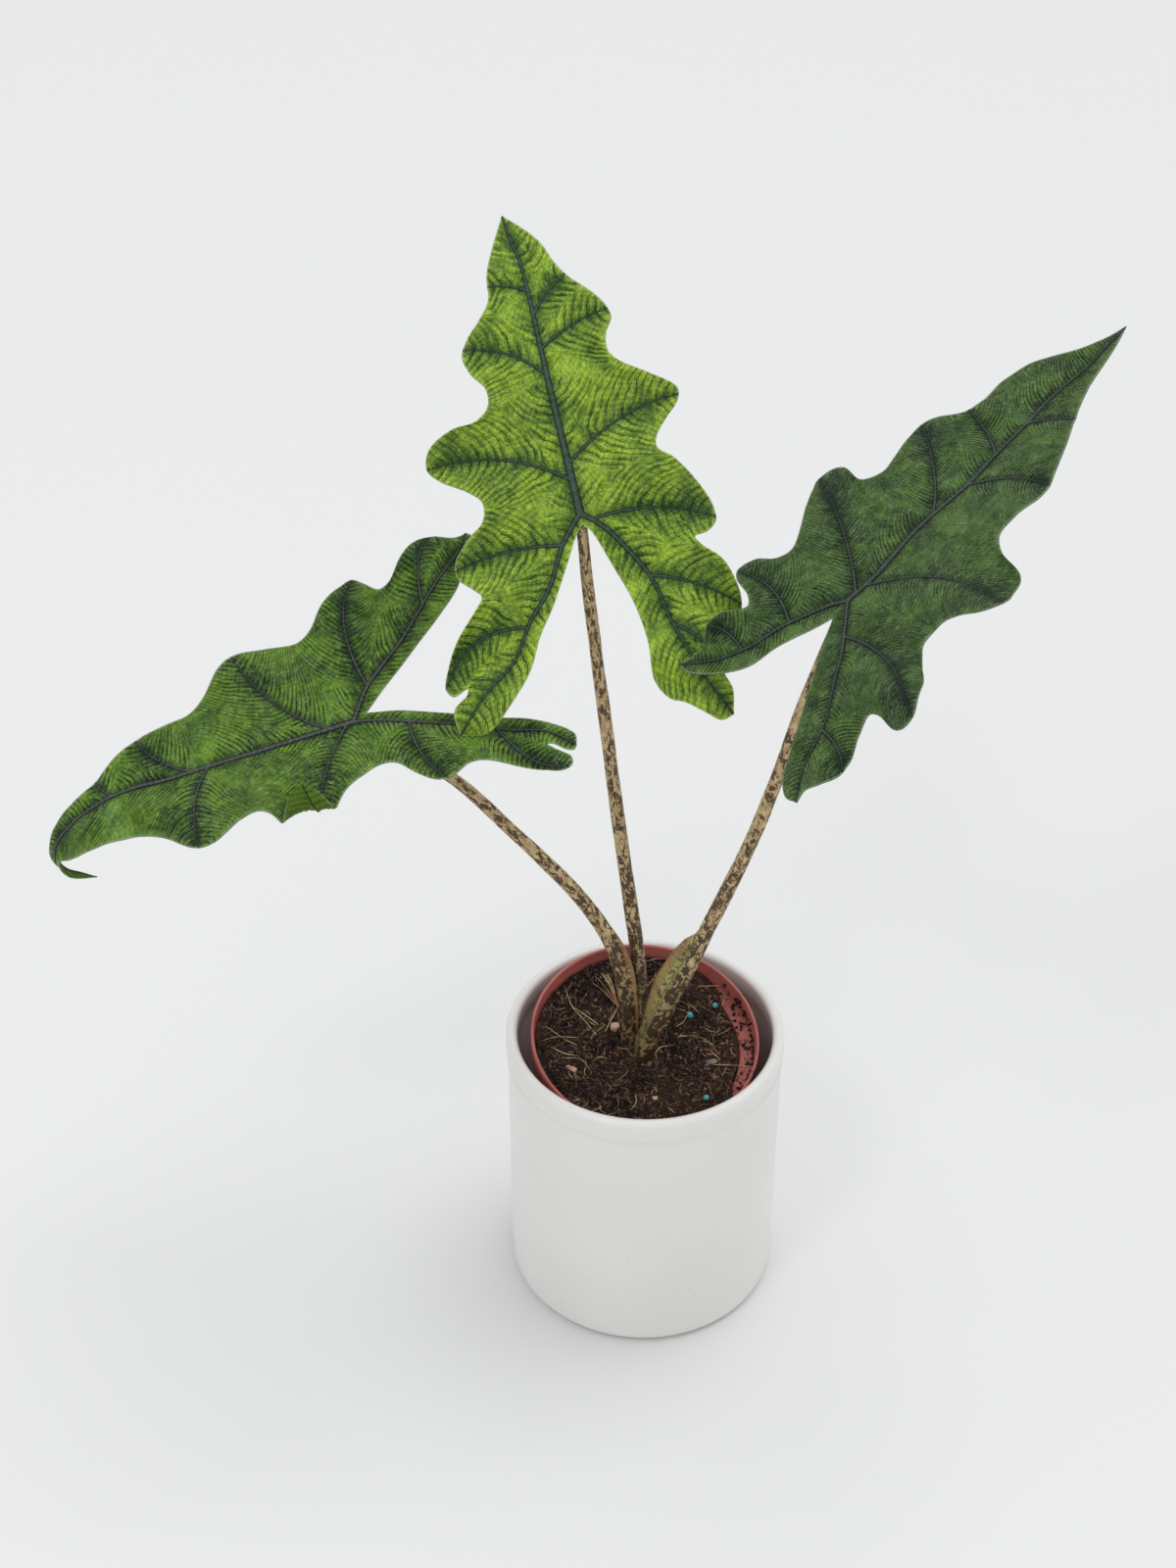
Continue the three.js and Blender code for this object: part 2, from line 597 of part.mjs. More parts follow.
function rootCurves() {
  const { x, y, top, height } = CORM;
  return Array.from({ length: ROOTS.count }, (_, i) => {
    const angle = (2 * Math.PI * i) / ROOTS.count + 0.4;
    const length = ROOTS.length * (i % 2 ? 1 : 0.8);
    const depths = [0.7 * height, 0.85 * height, height + 0.3 * length, height + 0.75 * length];
    return curveThrough(ROOTS.reaches.map((r, k) =>
      [x + r * Math.cos(angle), y + r * Math.sin(angle), top - depths[k]]));
  });
}

// Blades
function frameOf({ origin, tipward, upward }) {
  const u = new THREE.Vector3(...tipward).normalize();
  const n = new THREE.Vector3(...upward);
  n.addScaledVector(u, -n.dot(u)).normalize();
  return { origin: new THREE.Vector3(...origin), tipward: u, upward: n, left: n.clone().cross(u) };
}

// The midrib in its own upright plane: how far forward and up it has gone at each millimetre.
function ribPath(leaf) {
  const first = -140;
  const last = 200;
  const places = [{ x: 0, z: 0 }];
  for (let a = first; a < last; a++) {
    const slope = radians(tableAt(leaf.droop, a + 0.5));
    const { x, z } = places.at(-1);
    places.push({ x: x + Math.cos(slope), z: z - Math.sin(slope) });
  }
  const zero = places[-first];
  return (a) => {
    const i = Math.min(places.length - 2, Math.max(0, Math.floor(a - first)));
    const f = a - first - i;
    return {
      x: mix(places[i].x, places[i + 1].x, f) - zero.x,
      z: mix(places[i].z, places[i + 1].z, f) - zero.z,
    };
  };
}

// The slope of a half in degrees at a place a, m millimetres out from the midrib.
function halfSlope(leaf, a, m, left) {
  const rise = tableAt(left ? leaf.riseLeft : leaf.riseRight, a);
  const fall = left ? leaf.fallLeft : leaf.fallRight;
  const slope = rise * (1 - Math.exp(-m / 8)) - fall * m;
  if (!leaf.flap || !left) return slope;
  const { centre, half, start, width, turn } = leaf.flap;
  const fold = start + 12 * ((a - centre) / half) ** 2;
  return slope + turn * smooth01((m - fold) / width);
}

// Returns the function that lays [a, b] of a leaf in space.
function bladeSurface(leaf) {
  const frame = frameOf(leaf);
  const rib = ribPath(leaf);
  const steps = 24;
  return (a, b) => {
    const m = Math.abs(b);
    const left = b >= 0;
    let out = 0;
    let up = 0;
    for (let i = 0; i < steps; i++) {
      const slope = radians(halfSlope(leaf, a, (m * (i + 0.5)) / steps, left));
      out += (Math.cos(slope) * m) / steps;
      up += (Math.sin(slope) * m) / steps;
    }
    const { height, crest, pitch } = leaf.wave;
    up -= height * (m / 50) ** 2 * Math.cos((2 * Math.PI * (a - crest)) / pitch);
    const { x, z } = rib(a);
    const droop = radians(tableAt(leaf.droop, a));
    return frame.origin.clone()
      .addScaledVector(frame.tipward, leaf.size * (x + up * Math.sin(droop)))
      .addScaledVector(frame.upward, leaf.size * (z + up * Math.cos(droop)))
      .addScaledVector(frame.left, leaf.size * (left ? out : -out));
  };
}

// A flat curve through hand-set points, that can be read by length and asked for the length
// nearest to a point.
function flatCurve(points) {
  const curve = curveThrough(points.map(([a, b]) => [a, b, 0]));
  curve.arcLengthDivisions = 400;
  const length = curve.getLength();
  const at = (s) => {
    const p = curve.getPointAt(clamp01(s / length));
    return [p.x, p.y];
  };
  const nearest = ([a, b]) => {
    let best = 0;
    let least = Infinity;
    for (let s = 0; s <= length; s += 0.5) {
      const [x, y] = at(s);
      const far = Math.hypot(x - a, y - b);
      if (far < least) [best, least] = [s, far];
    }
    return best;
  };
  return { at, length, nearest };
}

// One flat curve after another, read as one.
function joined(first, second) {
  const at = (s) => (s <= first.length ? first.at(s) : second.at(s - first.length));
  return { at, length: first.length + second.length };
}

const reversed = (curve) => ({ at: (s) => curve.at(curve.length - s), length: curve.length });

// A half of a blade is told along its ribs by s, from the tip over the petiole's end to the end
// of the back lobe, and along its edge by e. Each vein ties one s to one e.
function tiesOf(half, rib, lobeRib, edge) {
  const veins = half.veins.map(({ from, to, bow }) => {
    const s = from[0] < 0 ? rib.length + lobeRib.nearest(from) : rib.length - rib.nearest(from);
    return { s, e: edge.nearest(to), bow };
  });
  const end = { s: rib.length + lobeRib.length, e: edge.length, bow: 0 };
  return [{ s: 0, e: 0, bow: 0 }, ...veins.sort((one, other) => one.s - other.s), end];
}

// What a half has at a length s: its e, its bow, how far it is between two veins.
function rowAt(ties, s) {
  let i = 1;
  while (i < ties.length - 1 && s > ties[i].s) i++;
  const [from, to] = [ties[i - 1], ties[i]];
  const f = clamp01((s - from.s) / (to.s - from.s));
  const vein = ties.slice(1, -1).some((tie) => Math.abs(tie.s - s) < 1e-6);
  return { s, e: mix(from.e, to.e, f), bow: mix(from.bow, to.bow, f), f, vein };
}

// The lengths s between two limits where a half wants a row.
function stations(ties, first, last) {
  const wanted = [first, last];
  for (let i = 1; i < ties.length; i++) {
    const [from, to] = [ties[i - 1], ties[i]];
    const edgeRows = Math.ceil((to.e - from.e) / BLADE.edgeStep);
    const rows = Math.max(edgeRows, Math.ceil((to.s - from.s) / BLADE.ribStep));
    for (let k = 0; k < rows; k++) wanted.push(mix(from.s, to.s, k / rows));
  }
  return wanted.filter((s) => s >= first && s <= last);
}

// Both sides of a rib share its points: the veins and ends are kept, and of the rest those that
// leave room.
function shared(kept, others, room) {
  const list = [...new Set(kept)];
  for (const s of others) {
    if (list.every((one) => Math.abs(one - s) > room)) list.push(s);
  }
  return list.sort((one, other) => one - other);
}

const tieLengths = (ties) => ties.map((tie) => tie.s);

// One leaf's flat net of triangles, with the height of its swelling and of its ridge at each point.
class LeafNet {
  points = [];
  faces = [];
  places = new Map();

  add(a, b, swell, ridge) {
    const key = `${a.toFixed(3)},${b.toFixed(3)}`;
    if (!this.places.has(key)) {
      this.places.set(key, this.points.length);
      this.points.push({ a, b, swell, ridge });
    }
    return this.places.get(key);
  }

  // A strip from a rib to an edge. rows hold s, e, bow, f and vein.
  strip(rows, ribs, edge, columns, ridgeAt, turnsLeft) {
    const net = rows.map((row) => this.row(row, ribs, edge, columns, ridgeAt));
    for (let j = 1; j < net.length; j++) {
      for (let i = 1; i < columns.length; i++) {
        const [p, q, r, t] = [net[j - 1][i - 1], net[j - 1][i], net[j][i], net[j][i - 1]];
        this.face(p, q, r, turnsLeft);
        this.face(p, r, t, turnsLeft);
      }
    }
  }

  row({ s, e, bow, f, vein }, ribs, edge, columns, ridgeAt) {
    const [a0, b0] = ribs.at(s);
    const [a1, b1] = edge.at(e);
    const span = Math.hypot(a1 - a0, b1 - b0);
    const side = b1 > b0 ? 1 : -1;
    return columns.map((column, i) => {
      const t = i === 1 ? Math.min(column, 2.2 / Math.max(span, 1e-6)) : column;
      const arch = bow * 4 * t * (1 - t) * side;
      const a = mix(a0, a1, t) + arch * (b1 - b0);
      const b = mix(b0, b1, t) - arch * (a1 - a0);
      const swell = Math.sin(Math.PI * f) * 4 * t * (1 - t) * Math.min(1, span / 40);
      const ridge = i === 0 ? ridgeAt(s) : (vein ? BLADE.veinRidge * (1 - 0.75 * t) : 0);
      return this.add(a, b, BLADE.quilt * swell, ridge);
    });
  }

  face(p, q, r, turnsLeft) {
    if (p === q || q === r || r === p) return;
    this.faces.push(turnsLeft ? [p, q, r] : [p, r, q]);
  }
}

function leafNet(leaf) {
  const net = new LeafNet();
  const rib = flatCurve(leaf.rib);
  const halves = ["left", "right"].map((side) => {
    const half = leaf[side];
    const lobeRib = flatCurve(half.lobeRib);
    const edge = flatCurve(half.edge);
    const inner = flatCurve(half.inner);
    return { side, lobeRib, edge, inner, ties: tiesOf(half, rib, lobeRib, edge) };
  });
  const ribKept = halves.flatMap(({ ties }) => tieLengths(ties)).filter((s) => s < rib.length);
  const ribWanted = halves.flatMap(({ ties }) => stations(ties, 0, rib.length));
  const ribStations = shared([0, rib.length, ...ribKept], ribWanted, BLADE.edgeStep / 3);
  for (const { side, lobeRib, edge, inner, ties } of halves) {
    const ribs = joined(reversed(rib), lobeRib);
    const innerTies = [{ s: rib.length, e: inner.length, bow: 0 },
      { s: ribs.length, e: 0, bow: 0 }];
    const lobeKept = tieLengths(ties).filter((s) => s > rib.length);
    const lobeWanted = stations(ties, rib.length, ribs.length);
    const lobeStations = shared([rib.length, ...lobeKept], lobeWanted, BLADE.edgeStep / 3);
    const ridgeAt = (s) => {
      const fromEnd = Math.abs(s - rib.length);
      const whole = s < rib.length ? rib.length : lobeRib.length;
      return BLADE.ribRidge * smooth01(fromEnd / 6 - 1) * (1 - 0.8 * (fromEnd / whole));
    };
    const outerRows = [...ribStations, ...lobeStations.slice(1)].map((s) => rowAt(ties, s));
    const innerRows = lobeStations.map((s) => ({ ...rowAt(innerTies, s), vein: false }));
    const turnsLeft = side === "left";
    net.strip(outerRows, ribs, edge, [0, 0.25, 0.42, 0.72, 1], ridgeAt, turnsLeft);
    net.strip(innerRows, ribs, inner, [0, 0.3, 0.65, 1], ridgeAt, !turnsLeft);
  }
  return net;
}

// The normals of a net of triangles at its points.
function netNormals(places, faces) {
  const normals = places.map(() => new THREE.Vector3());
  for (const [p, q, r] of faces) {
    const side = places[q].clone().sub(places[p]);
    const across = side.cross(places[r].clone().sub(places[p]));
    for (const i of [p, q, r]) normals[i].add(across);
  }
  return normals.map((normal) => normal.normalize());
}

// Blade: the net laid in space, given its thickness and closed round its edge.
function leafGeometry(leaf) {
  const { points, faces } = leafNet(leaf);
  const surface = bladeSurface(leaf);
  const places = points.map(({ a, b }) => surface(a, b));
  const normals = netNormals(places, faces);
  const top = points.map(({ swell, ridge }, i) =>
    places[i].clone().addScaledVector(normals[i], swell + 0.2 * ridge));
  const under = points.map(({ swell, ridge }, i) =>
    places[i].clone().addScaledVector(normals[i], swell - BLADE.thickness - ridge));
  const count = points.length;
  const all = faces.flatMap(([p, q, r]) => [p, q, r, p + count, r + count, q + count]);
  const edges = new Set(faces.flatMap(([p, q, r]) => [`${p} ${q}`, `${q} ${r}`, `${r} ${p}`]));
  for (const edge of edges) {
    const [p, q] = edge.split(" ").map(Number);
    if (!edges.has(`${q} ${p}`)) all.push(q, p, p + count, q, p + count, q + count);
  }
  return meshOf([...top, ...under].map((place) => place.toArray()), all);
}

// Fertiliser beads: small coated grains lying on the soil.
function beadMeshes(potMatrix) {
  return BEADS.map(({ name, x, y, radius }) => {
    const bead = named(name, new THREE.IcosahedronGeometry(radius, 1), MATERIALS.bead);
    bead.position.set(x, y, soilTopAt(x, y) + radius + GAP).applyMatrix4(potMatrix);
    return bead;
  });
}

// Assembly
const plant = new THREE.Group();
plant.add(named("cachepot", cachepotGeometry(), MATERIALS.glaze));

const potMatrix = nurseryPotMatrix();
const leaningPot = new THREE.Group();
leaningPot.applyMatrix4(potMatrix);
plant.add(leaningPot);
leaningPot.add(named("nursery_pot", nurseryPotGeometry(), MATERIALS.terracottaPlastic));

const toPot = potMatrix.clone().invert();
const stemHoles = ["left", "middle", "right"].map((side) =>
  solidOf(petioleGeometry(PETIOLES[side], LEAVES[side], GAP).applyMatrix4(toPot)));
const cormHole = solidOf(geometryOf(cormSolid(GAP)).applyMatrix4(toPot));
leaningPot.add(named("soil", soilGeometry([...stemHoles, cormHole]), MATERIALS.peat));

plant.add(named("corm", geometryOf(cormSolid()), MATERIALS.corm));
const leafFinish = { left: "leafMature", middle: "leafYoung", right: "leafOld" };
for (const side of ["left", "middle", "right"]) {
  const petiole = petioleGeometry(PETIOLES[side], LEAVES[side]);
  plant.add(named(`petiole_${side}`, petiole, MATERIALS.petiole));
  plant.add(named(`leaf_${side}`, leafGeometry(LEAVES[side]), MATERIALS[leafFinish[side]]));
}
plant.add(...beadMeshes(potMatrix));

export default plant;
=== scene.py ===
import math

import bmesh
import bpy
import numpy as np
from mathutils import Matrix, Vector


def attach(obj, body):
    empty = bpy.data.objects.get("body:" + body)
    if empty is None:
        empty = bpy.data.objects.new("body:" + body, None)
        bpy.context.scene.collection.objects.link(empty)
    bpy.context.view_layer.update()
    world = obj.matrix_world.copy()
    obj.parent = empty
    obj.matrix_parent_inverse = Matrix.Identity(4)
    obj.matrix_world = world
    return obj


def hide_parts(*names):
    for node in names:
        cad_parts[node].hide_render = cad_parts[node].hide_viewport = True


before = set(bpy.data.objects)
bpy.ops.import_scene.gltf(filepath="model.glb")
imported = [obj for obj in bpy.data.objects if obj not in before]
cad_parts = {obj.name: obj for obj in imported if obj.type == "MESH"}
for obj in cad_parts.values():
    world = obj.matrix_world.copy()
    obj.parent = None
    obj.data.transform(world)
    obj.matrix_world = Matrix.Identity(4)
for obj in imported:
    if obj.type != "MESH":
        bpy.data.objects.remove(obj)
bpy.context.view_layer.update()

# Cachepot: one slip-cast cylinder with a full flat foot and a low band round its lip. It is
# glazed white inside and out, stands on the table and holds the leaning nursery pot.
MM = 0.001
CACHEPOT_RADIUS = 71.2
CACHEPOT_HEIGHT = 162
CACHEPOT_WALL = 4.2
CACHEPOT_FLOOR = 7
FOOT_FILLET = 6.5
LIP_PROUD = 0.8
LIP_BAND = 12
LIP_WALL = 6


def arc(r, z, radius, start, stop, steps):
    """Points of a circular arc in a profile, between two angles in degrees."""
    angle = np.radians(np.linspace(start, stop, steps + 1))
    return np.stack([r + radius * np.cos(angle), z + radius * np.sin(angle)], axis=1)


def refined(profile, step):
    """The same profile with extra points, so that no stretch is much longer than step."""
    profile = np.asarray(profile, float)
    parts = []
    for start, stop in zip(profile[:-1], profile[1:]):
        count = max(1, int(np.linalg.norm(stop - start) / step))
        share = np.arange(count)[:, None] / count
        parts.append(start + share * (stop - start))
    return np.vstack([*parts, profile[-1:]])


def ring_faces(rows, sides):
    """Quads between closed rings of equal counts, ring j holding points j * sides onwards."""
    j, i = np.meshgrid(np.arange(rows - 1), np.arange(sides), indexing="ij")
    here = j * sides + i
    beside = j * sides + (i + 1) % sides
    quads = np.stack([here, beside, beside + sides, here + sides], axis=-1)
    return quads.reshape(-1, 4).tolist()


def closed_rings(rings, first, last):
    """A closed body: rings[j, i] of points, and a hub at either end that a fan of triangles
    joins to the ring beside it."""
    rows, sides = rings.shape[:2]
    count = rows * sides
    here = np.arange(sides)
    after = (here + 1) % sides
    top = count - sides
    fans = np.vstack([np.stack([np.full(sides, count), after, here], 1),
                      np.stack([np.full(sides, count + 1), top + here, top + after], 1)])
    points = np.vstack([rings.reshape(-1, 3), [first, last]])
    return points, ring_faces(rows, sides) + fans.tolist()


def turned(profile, sides):
    """A closed profile of [radius, height] carried round the upright axis: its point k at the
    angle 2 pi i / sides is (r cos, r sin, z). The first and last point lie on the axis."""
    profile = np.asarray(profile, float)
    angle = 2 * np.pi * np.arange(sides) / sides
    r, z = profile[1:-1].T
    x = r[:, None] * np.cos(angle)
    y = r[:, None] * np.sin(angle)
    rings = np.stack([x, y, np.broadcast_to(z[:, None], x.shape)], axis=-1)
    return closed_rings(rings, [0, 0, profile[0, 1]], [0, 0, profile[-1, 1]])


def make_piece(name, points, faces, values=None):
    """A smooth-shaded object from points in mm, with numbers or vectors kept at its points."""
    mesh = bpy.data.meshes.new(name)
    mesh.from_pydata((np.asarray(points) * MM).tolist(), [], faces)
    for key, value in (values or {}).items():
        value = np.asarray(value, np.float32)
        kind, field = ("FLOAT", "value") if value.ndim == 1 else ("FLOAT_VECTOR", "vector")
        mesh.attributes.new(key, kind, "POINT").data.foreach_set(field, value.ravel())
    mesh.shade_smooth()
    mesh.update()
    made = bpy.data.objects.new(name, mesh)
    bpy.context.scene.collection.objects.link(made)
    return made


def fit(piece, material, slot, *nodes):
    """Finishes a piece, fixes it to the one body and lets it stand for its CAD nodes."""
    piece.data.materials.append(material)
    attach(piece, "root")
    if nodes:
        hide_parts(*nodes)


def add(tree, kind, inputs=None, **settings):
    """Adds a shader node. inputs gives sockets a number, a colour or another node's output."""
    made = tree.nodes.new("ShaderNode" + kind)
    for key, value in settings.items():
        setattr(made, key, value)
    for key, value in (inputs or {}).items():
        if isinstance(value, bpy.types.NodeSocket):
            tree.links.new(value, made.inputs[key])
        else:
            made.inputs[key].default_value = value
    return made


def calc(tree, operation, *values):
    """The output of a math node."""
    return add(tree, "Math", dict(enumerate(values)), operation=operation).outputs[0]


def ramp(tree, value, low, high, to_low=0.0, to_high=1.0):
    """The output of a smooth step: to_low below low, to_high above high."""
    sockets = {"Value": value, "From Min": low, "From Max": high, "To Min": to_low,
               "To Max": to_high}
    return add(tree, "MapRange", sockets, interpolation_type="SMOOTHSTEP").outputs["Result"]


def blend(tree, share, first, second):
    """The output that goes from the first colour to the second as share goes from 0 to 1."""
    mix = add(tree, "Mix", {0: share}, data_type="RGBA")
    for key, value in ((6, first), (7, second)):
        if isinstance(value, bpy.types.NodeSocket):
            tree.links.new(value, mix.inputs[key])
        else:
            mix.inputs[key].default_value = (*value, 1)
    return mix.outputs[2]


def noise(tree, where, scale, detail=2.0, rough=0.5, distortion=0.0):
    """The output of a noise texture, about 0.5 on average."""
    sockets = {"Vector": where, "Scale": scale, "Detail": detail, "Roughness": rough,
               "Distortion": distortion}
    return add(tree, "TexNoise", sockets).outputs[0]


def new_material(name, **sockets):
    """A material with one Principled shader whose uniform numbers are set on it."""
    material = bpy.data.materials.new(name)
    material.use_nodes = True
    shader = material.node_tree.nodes["Principled BSDF"]
    for key, value in sockets.items():
        shader.inputs[key.replace("_", " ")].default_value = value
    return material, material.node_tree, shader


def object_place(tree):
    return add(tree, "TexCoord").outputs["Object"]


def bump(tree, shader, height, distance, strength=1.0):
    """Feeds a height to the shader's normal, distance being its full depth in metres."""
    sockets = {"Height": height, "Distance": distance, "Strength": strength}
    tree.links.new(add(tree, "Bump", sockets).outputs[0], shader.inputs["Normal"])


def surface_grain_group():
    """Fine unevenness that several finishes share: a soft ripple and a finer grain on it."""
    group = bpy.data.node_groups.new("surface grain", "ShaderNodeTree")
    for name, kind in (("Place", "NodeSocketVector"), ("Ripple size", "NodeSocketFloat"),
                       ("Grain size", "NodeSocketFloat"), ("Grain share", "NodeSocketFloat")):
        group.interface.new_socket(name, in_out="INPUT", socket_type=kind)
    for name in ("Height", "Mask"):
        group.interface.new_socket(name, in_out="OUTPUT", socket_type="NodeSocketFloat")
    given = group.nodes.new("NodeGroupInput")
    ripple = noise(group, given.outputs["Place"], given.outputs["Ripple size"], 3)
    grain = noise(group, given.outputs["Place"], given.outputs["Grain size"], 4, 0.6)
    fine = calc(group, "MULTIPLY", grain, given.outputs["Grain share"])
    out = group.nodes.new("NodeGroupOutput")
    group.links.new(calc(group, "ADD", ripple, fine), out.inputs["Height"])
    group.links.new(ramp(group, grain, 0.35, 0.65), out.inputs["Mask"])
    return group


SURFACE_GRAIN = surface_grain_group()


def grain(tree, place, ripple, fine, share):
    """The shared grain at its own scales, as its Height and Mask outputs."""
    used = add(tree, "Group", node_tree=SURFACE_GRAIN)
    tree.links.new(place, used.inputs["Place"])
    used.inputs["Ripple size"].default_value = ripple
    used.inputs["Grain size"].default_value = fine
    used.inputs["Grain share"].default_value = share
    return used.outputs["Height"], used.outputs["Mask"]


def white_glaze():
    material, tree, shader = new_material(
        "white glaze", Coat_Weight=0.25, Coat_Roughness=0.12, IOR=1.5)
    place = object_place(tree)
    height, mask = grain(tree, place, 14, 420, 0.12)
    cloud = ramp(tree, noise(tree, place, 9, 2), 0.35, 0.7)
    body = blend(tree, cloud, (0.79, 0.785, 0.765), (0.745, 0.735, 0.7))
    pits = add(tree, "TexVoronoi", {"Vector": place, "Scale": 160}).outputs["Distance"]
    pit = ramp(tree, pits, 0.03, 0.07, 1, 0)
    rare = ramp(tree, noise(tree, place, 60, 0), 0.62, 0.66)
    speck = calc(tree, "MULTIPLY", pit, rare)
    tree.links.new(blend(tree, speck, body, (0.42, 0.39, 0.35)), shader.inputs["Base Color"])
    tree.links.new(ramp(tree, mask, 0, 1, 0.3, 0.36), shader.inputs["Roughness"])
    bump(tree, shader, calc(tree, "SUBTRACT", height, speck), 0.0006, 0.5)
    return material


def cachepot_profile():
    outer = CACHEPOT_RADIUS + LIP_PROUD
    band = CACHEPOT_HEIGHT - LIP_BAND
    inner = CACHEPOT_RADIUS - CACHEPOT_WALL
    round_lip = LIP_WALL / 2
    lip = arc(outer - round_lip, CACHEPOT_HEIGHT - round_lip, round_lip, 0, 180, 20)
    foot = arc(CACHEPOT_RADIUS - FOOT_FILLET, FOOT_FILLET, FOOT_FILLET, -90, 0, 14)
    corner = CACHEPOT_FLOOR + FOOT_FILLET
    bottom = arc(inner - FOOT_FILLET, corner, FOOT_FILLET, 0, -90, 8)
    step = arc(CACHEPOT_RADIUS - 1.2, band - 1.5, 1.2, 0, 1, 1)[:1]
    return refined(np.vstack([
        [[0, 0]], foot, step, [[outer - 0.25, band - 0.5], [outer, band + 0.4]], lip,
        [[outer - LIP_WALL, band + 0.4], [inner, band - 1.5]], bottom, [[0, CACHEPOT_FLOOR]],
    ]), 5)


def cast_unevenness(points):
    """Moves the wall out and in by up to 0.2 mm, as drying clay does: two slow waves round it."""
    x, y, z = points.T
    angle = np.arctan2(y, x)
    drift = 0.12 * np.sin(2 * angle + 0.6) + 0.08 * np.sin(3 * angle - 1.1 + z / 60)
    share = np.clip(np.hypot(x, y) / CACHEPOT_RADIUS, 0, 1) * np.clip(z / 20, 0, 1)
    scale = 1 + drift * share / CACHEPOT_RADIUS
    return np.stack([x * scale, y * scale, z], axis=1)


cachepot_points, cachepot_faces = turned(cachepot_profile(), 192)
cachepot = make_piece("cachepot_glazed", cast_unevenness(cachepot_points), cachepot_faces)
fit(cachepot, white_glaze(), "white_glaze", "cachepot")


# Nursery pot: thin terracotta-coloured plastic, moulded in one with a stepped collar and a ledge
# inside it. It stands on the front edge of its foot and leans inside the cachepot.
RIM_RADIUS = 59
POT_FOOT_RADIUS = 40
POT_HEIGHT = 150
POT_WALL = 1.5
COLLAR_HEIGHT = 12.5
COLLAR_STEP = 6.5
NECK_RADIUS = RIM_RADIUS - 1 - COLLAR_STEP
LEDGE = POT_WALL - COLLAR_HEIGHT
LEAN_FORWARD = 12
LEAN_RIGHT = 4.3
RIM_CENTRE = (0.3, -6.7)
GAP = 0.35
DRAIN_HOLES = 6
DRAIN_RADIUS = 4
DRAIN_RING = 25


def pot_matrix():
    """The nursery pot's frame: z = 0 is its rim's plane, and its foot stands on the floor."""
    lean = math.radians(math.hypot(LEAN_FORWARD, LEAN_RIGHT))
    up = CACHEPOT_FLOOR + GAP + POT_FOOT_RADIUS * math.sin(lean) + POT_HEIGHT * math.cos(lean)
    turn = (Matrix.Rotation(math.radians(LEAN_FORWARD), 3, "X")
            @ Matrix.Rotation(math.radians(LEAN_RIGHT), 3, "Y"))
    return np.array(turn), np.array([*RIM_CENTRE, up])


POT_TURN, POT_PLACE = pot_matrix()


def from_pot(points):
    """Points of the leaning pot's own frame, in the row's frame."""
    return np.asarray(points) @ POT_TURN.T + POT_PLACE


def nursery_pot_profile():
    """The pot's section from the middle of its foot out, up over the rim and back inside. Its
    corners are rounded by half a millimetre to one millimetre."""
    collar_in = RIM_RADIUS - 0.8 - POT_WALL
    neck_in = NECK_RADIUS - POT_WALL
    foot_in = POT_FOOT_RADIUS - POT_WALL
    rim_round = 0.85
    return refined(np.vstack([
        [[0, -POT_HEIGHT]],
        arc(POT_FOOT_RADIUS - 1, 1 - POT_HEIGHT, 1, -90, 0, 3),
        [[NECK_RADIUS - 0.1, -COLLAR_HEIGHT - 0.5], [NECK_RADIUS + 0.6, -COLLAR_HEIGHT]],
        arc(RIM_RADIUS - 1.8, 1 - COLLAR_HEIGHT, 1, -90, 0, 3),
        arc(RIM_RADIUS - rim_round, -rim_round, rim_round, 0, 180, 8),
        [[collar_in + 0.1, LEDGE + 0.9], [collar_in - 0.6, LEDGE + 0.1]],
        [[neck_in + 0.6, LEDGE], [neck_in, LEDGE - 0.6]],
        [[foot_in, POT_WALL - POT_HEIGHT], [0, POT_WALL - POT_HEIGHT]],
    ]), 6)


def cut_drain_holes(pot):
    """Cuts the ring of round holes in the floor with one boolean, and applies it."""
    cutter = bmesh.new()
    radius = DRAIN_RADIUS * MM
    turn = Matrix(POT_TURN.tolist()).to_4x4()
    for angle in 2 * np.pi * np.arange(DRAIN_HOLES) / DRAIN_HOLES:
        x, y = DRAIN_RING * math.cos(angle), DRAIN_RING * math.sin(angle)
        place = Matrix.Translation(Vector(from_pot([x, y, -POT_HEIGHT]) * MM)) @ turn
        bmesh.ops.create_cone(cutter, cap_ends=True, segments=24, radius1=radius,
                              radius2=radius, depth=2 * radius, matrix=place)
    mesh = bpy.data.meshes.new("drain cutter")
    cutter.to_mesh(mesh)
    cutter.free()
    tool = bpy.data.objects.new("drain cutter", mesh)
    bpy.context.scene.collection.objects.link(tool)
    cut = pot.modifiers.new("drain holes", "BOOLEAN")
    cut.operation = "DIFFERENCE"
    cut.solver = "EXACT"
    cut.object = tool
    bpy.context.view_layer.update()
    evaluated = pot.evaluated_get(bpy.context.evaluated_depsgraph_get())
    pot.data = bpy.data.meshes.new_from_object(evaluated)
    pot.modifiers.clear()
    bpy.data.objects.remove(tool)


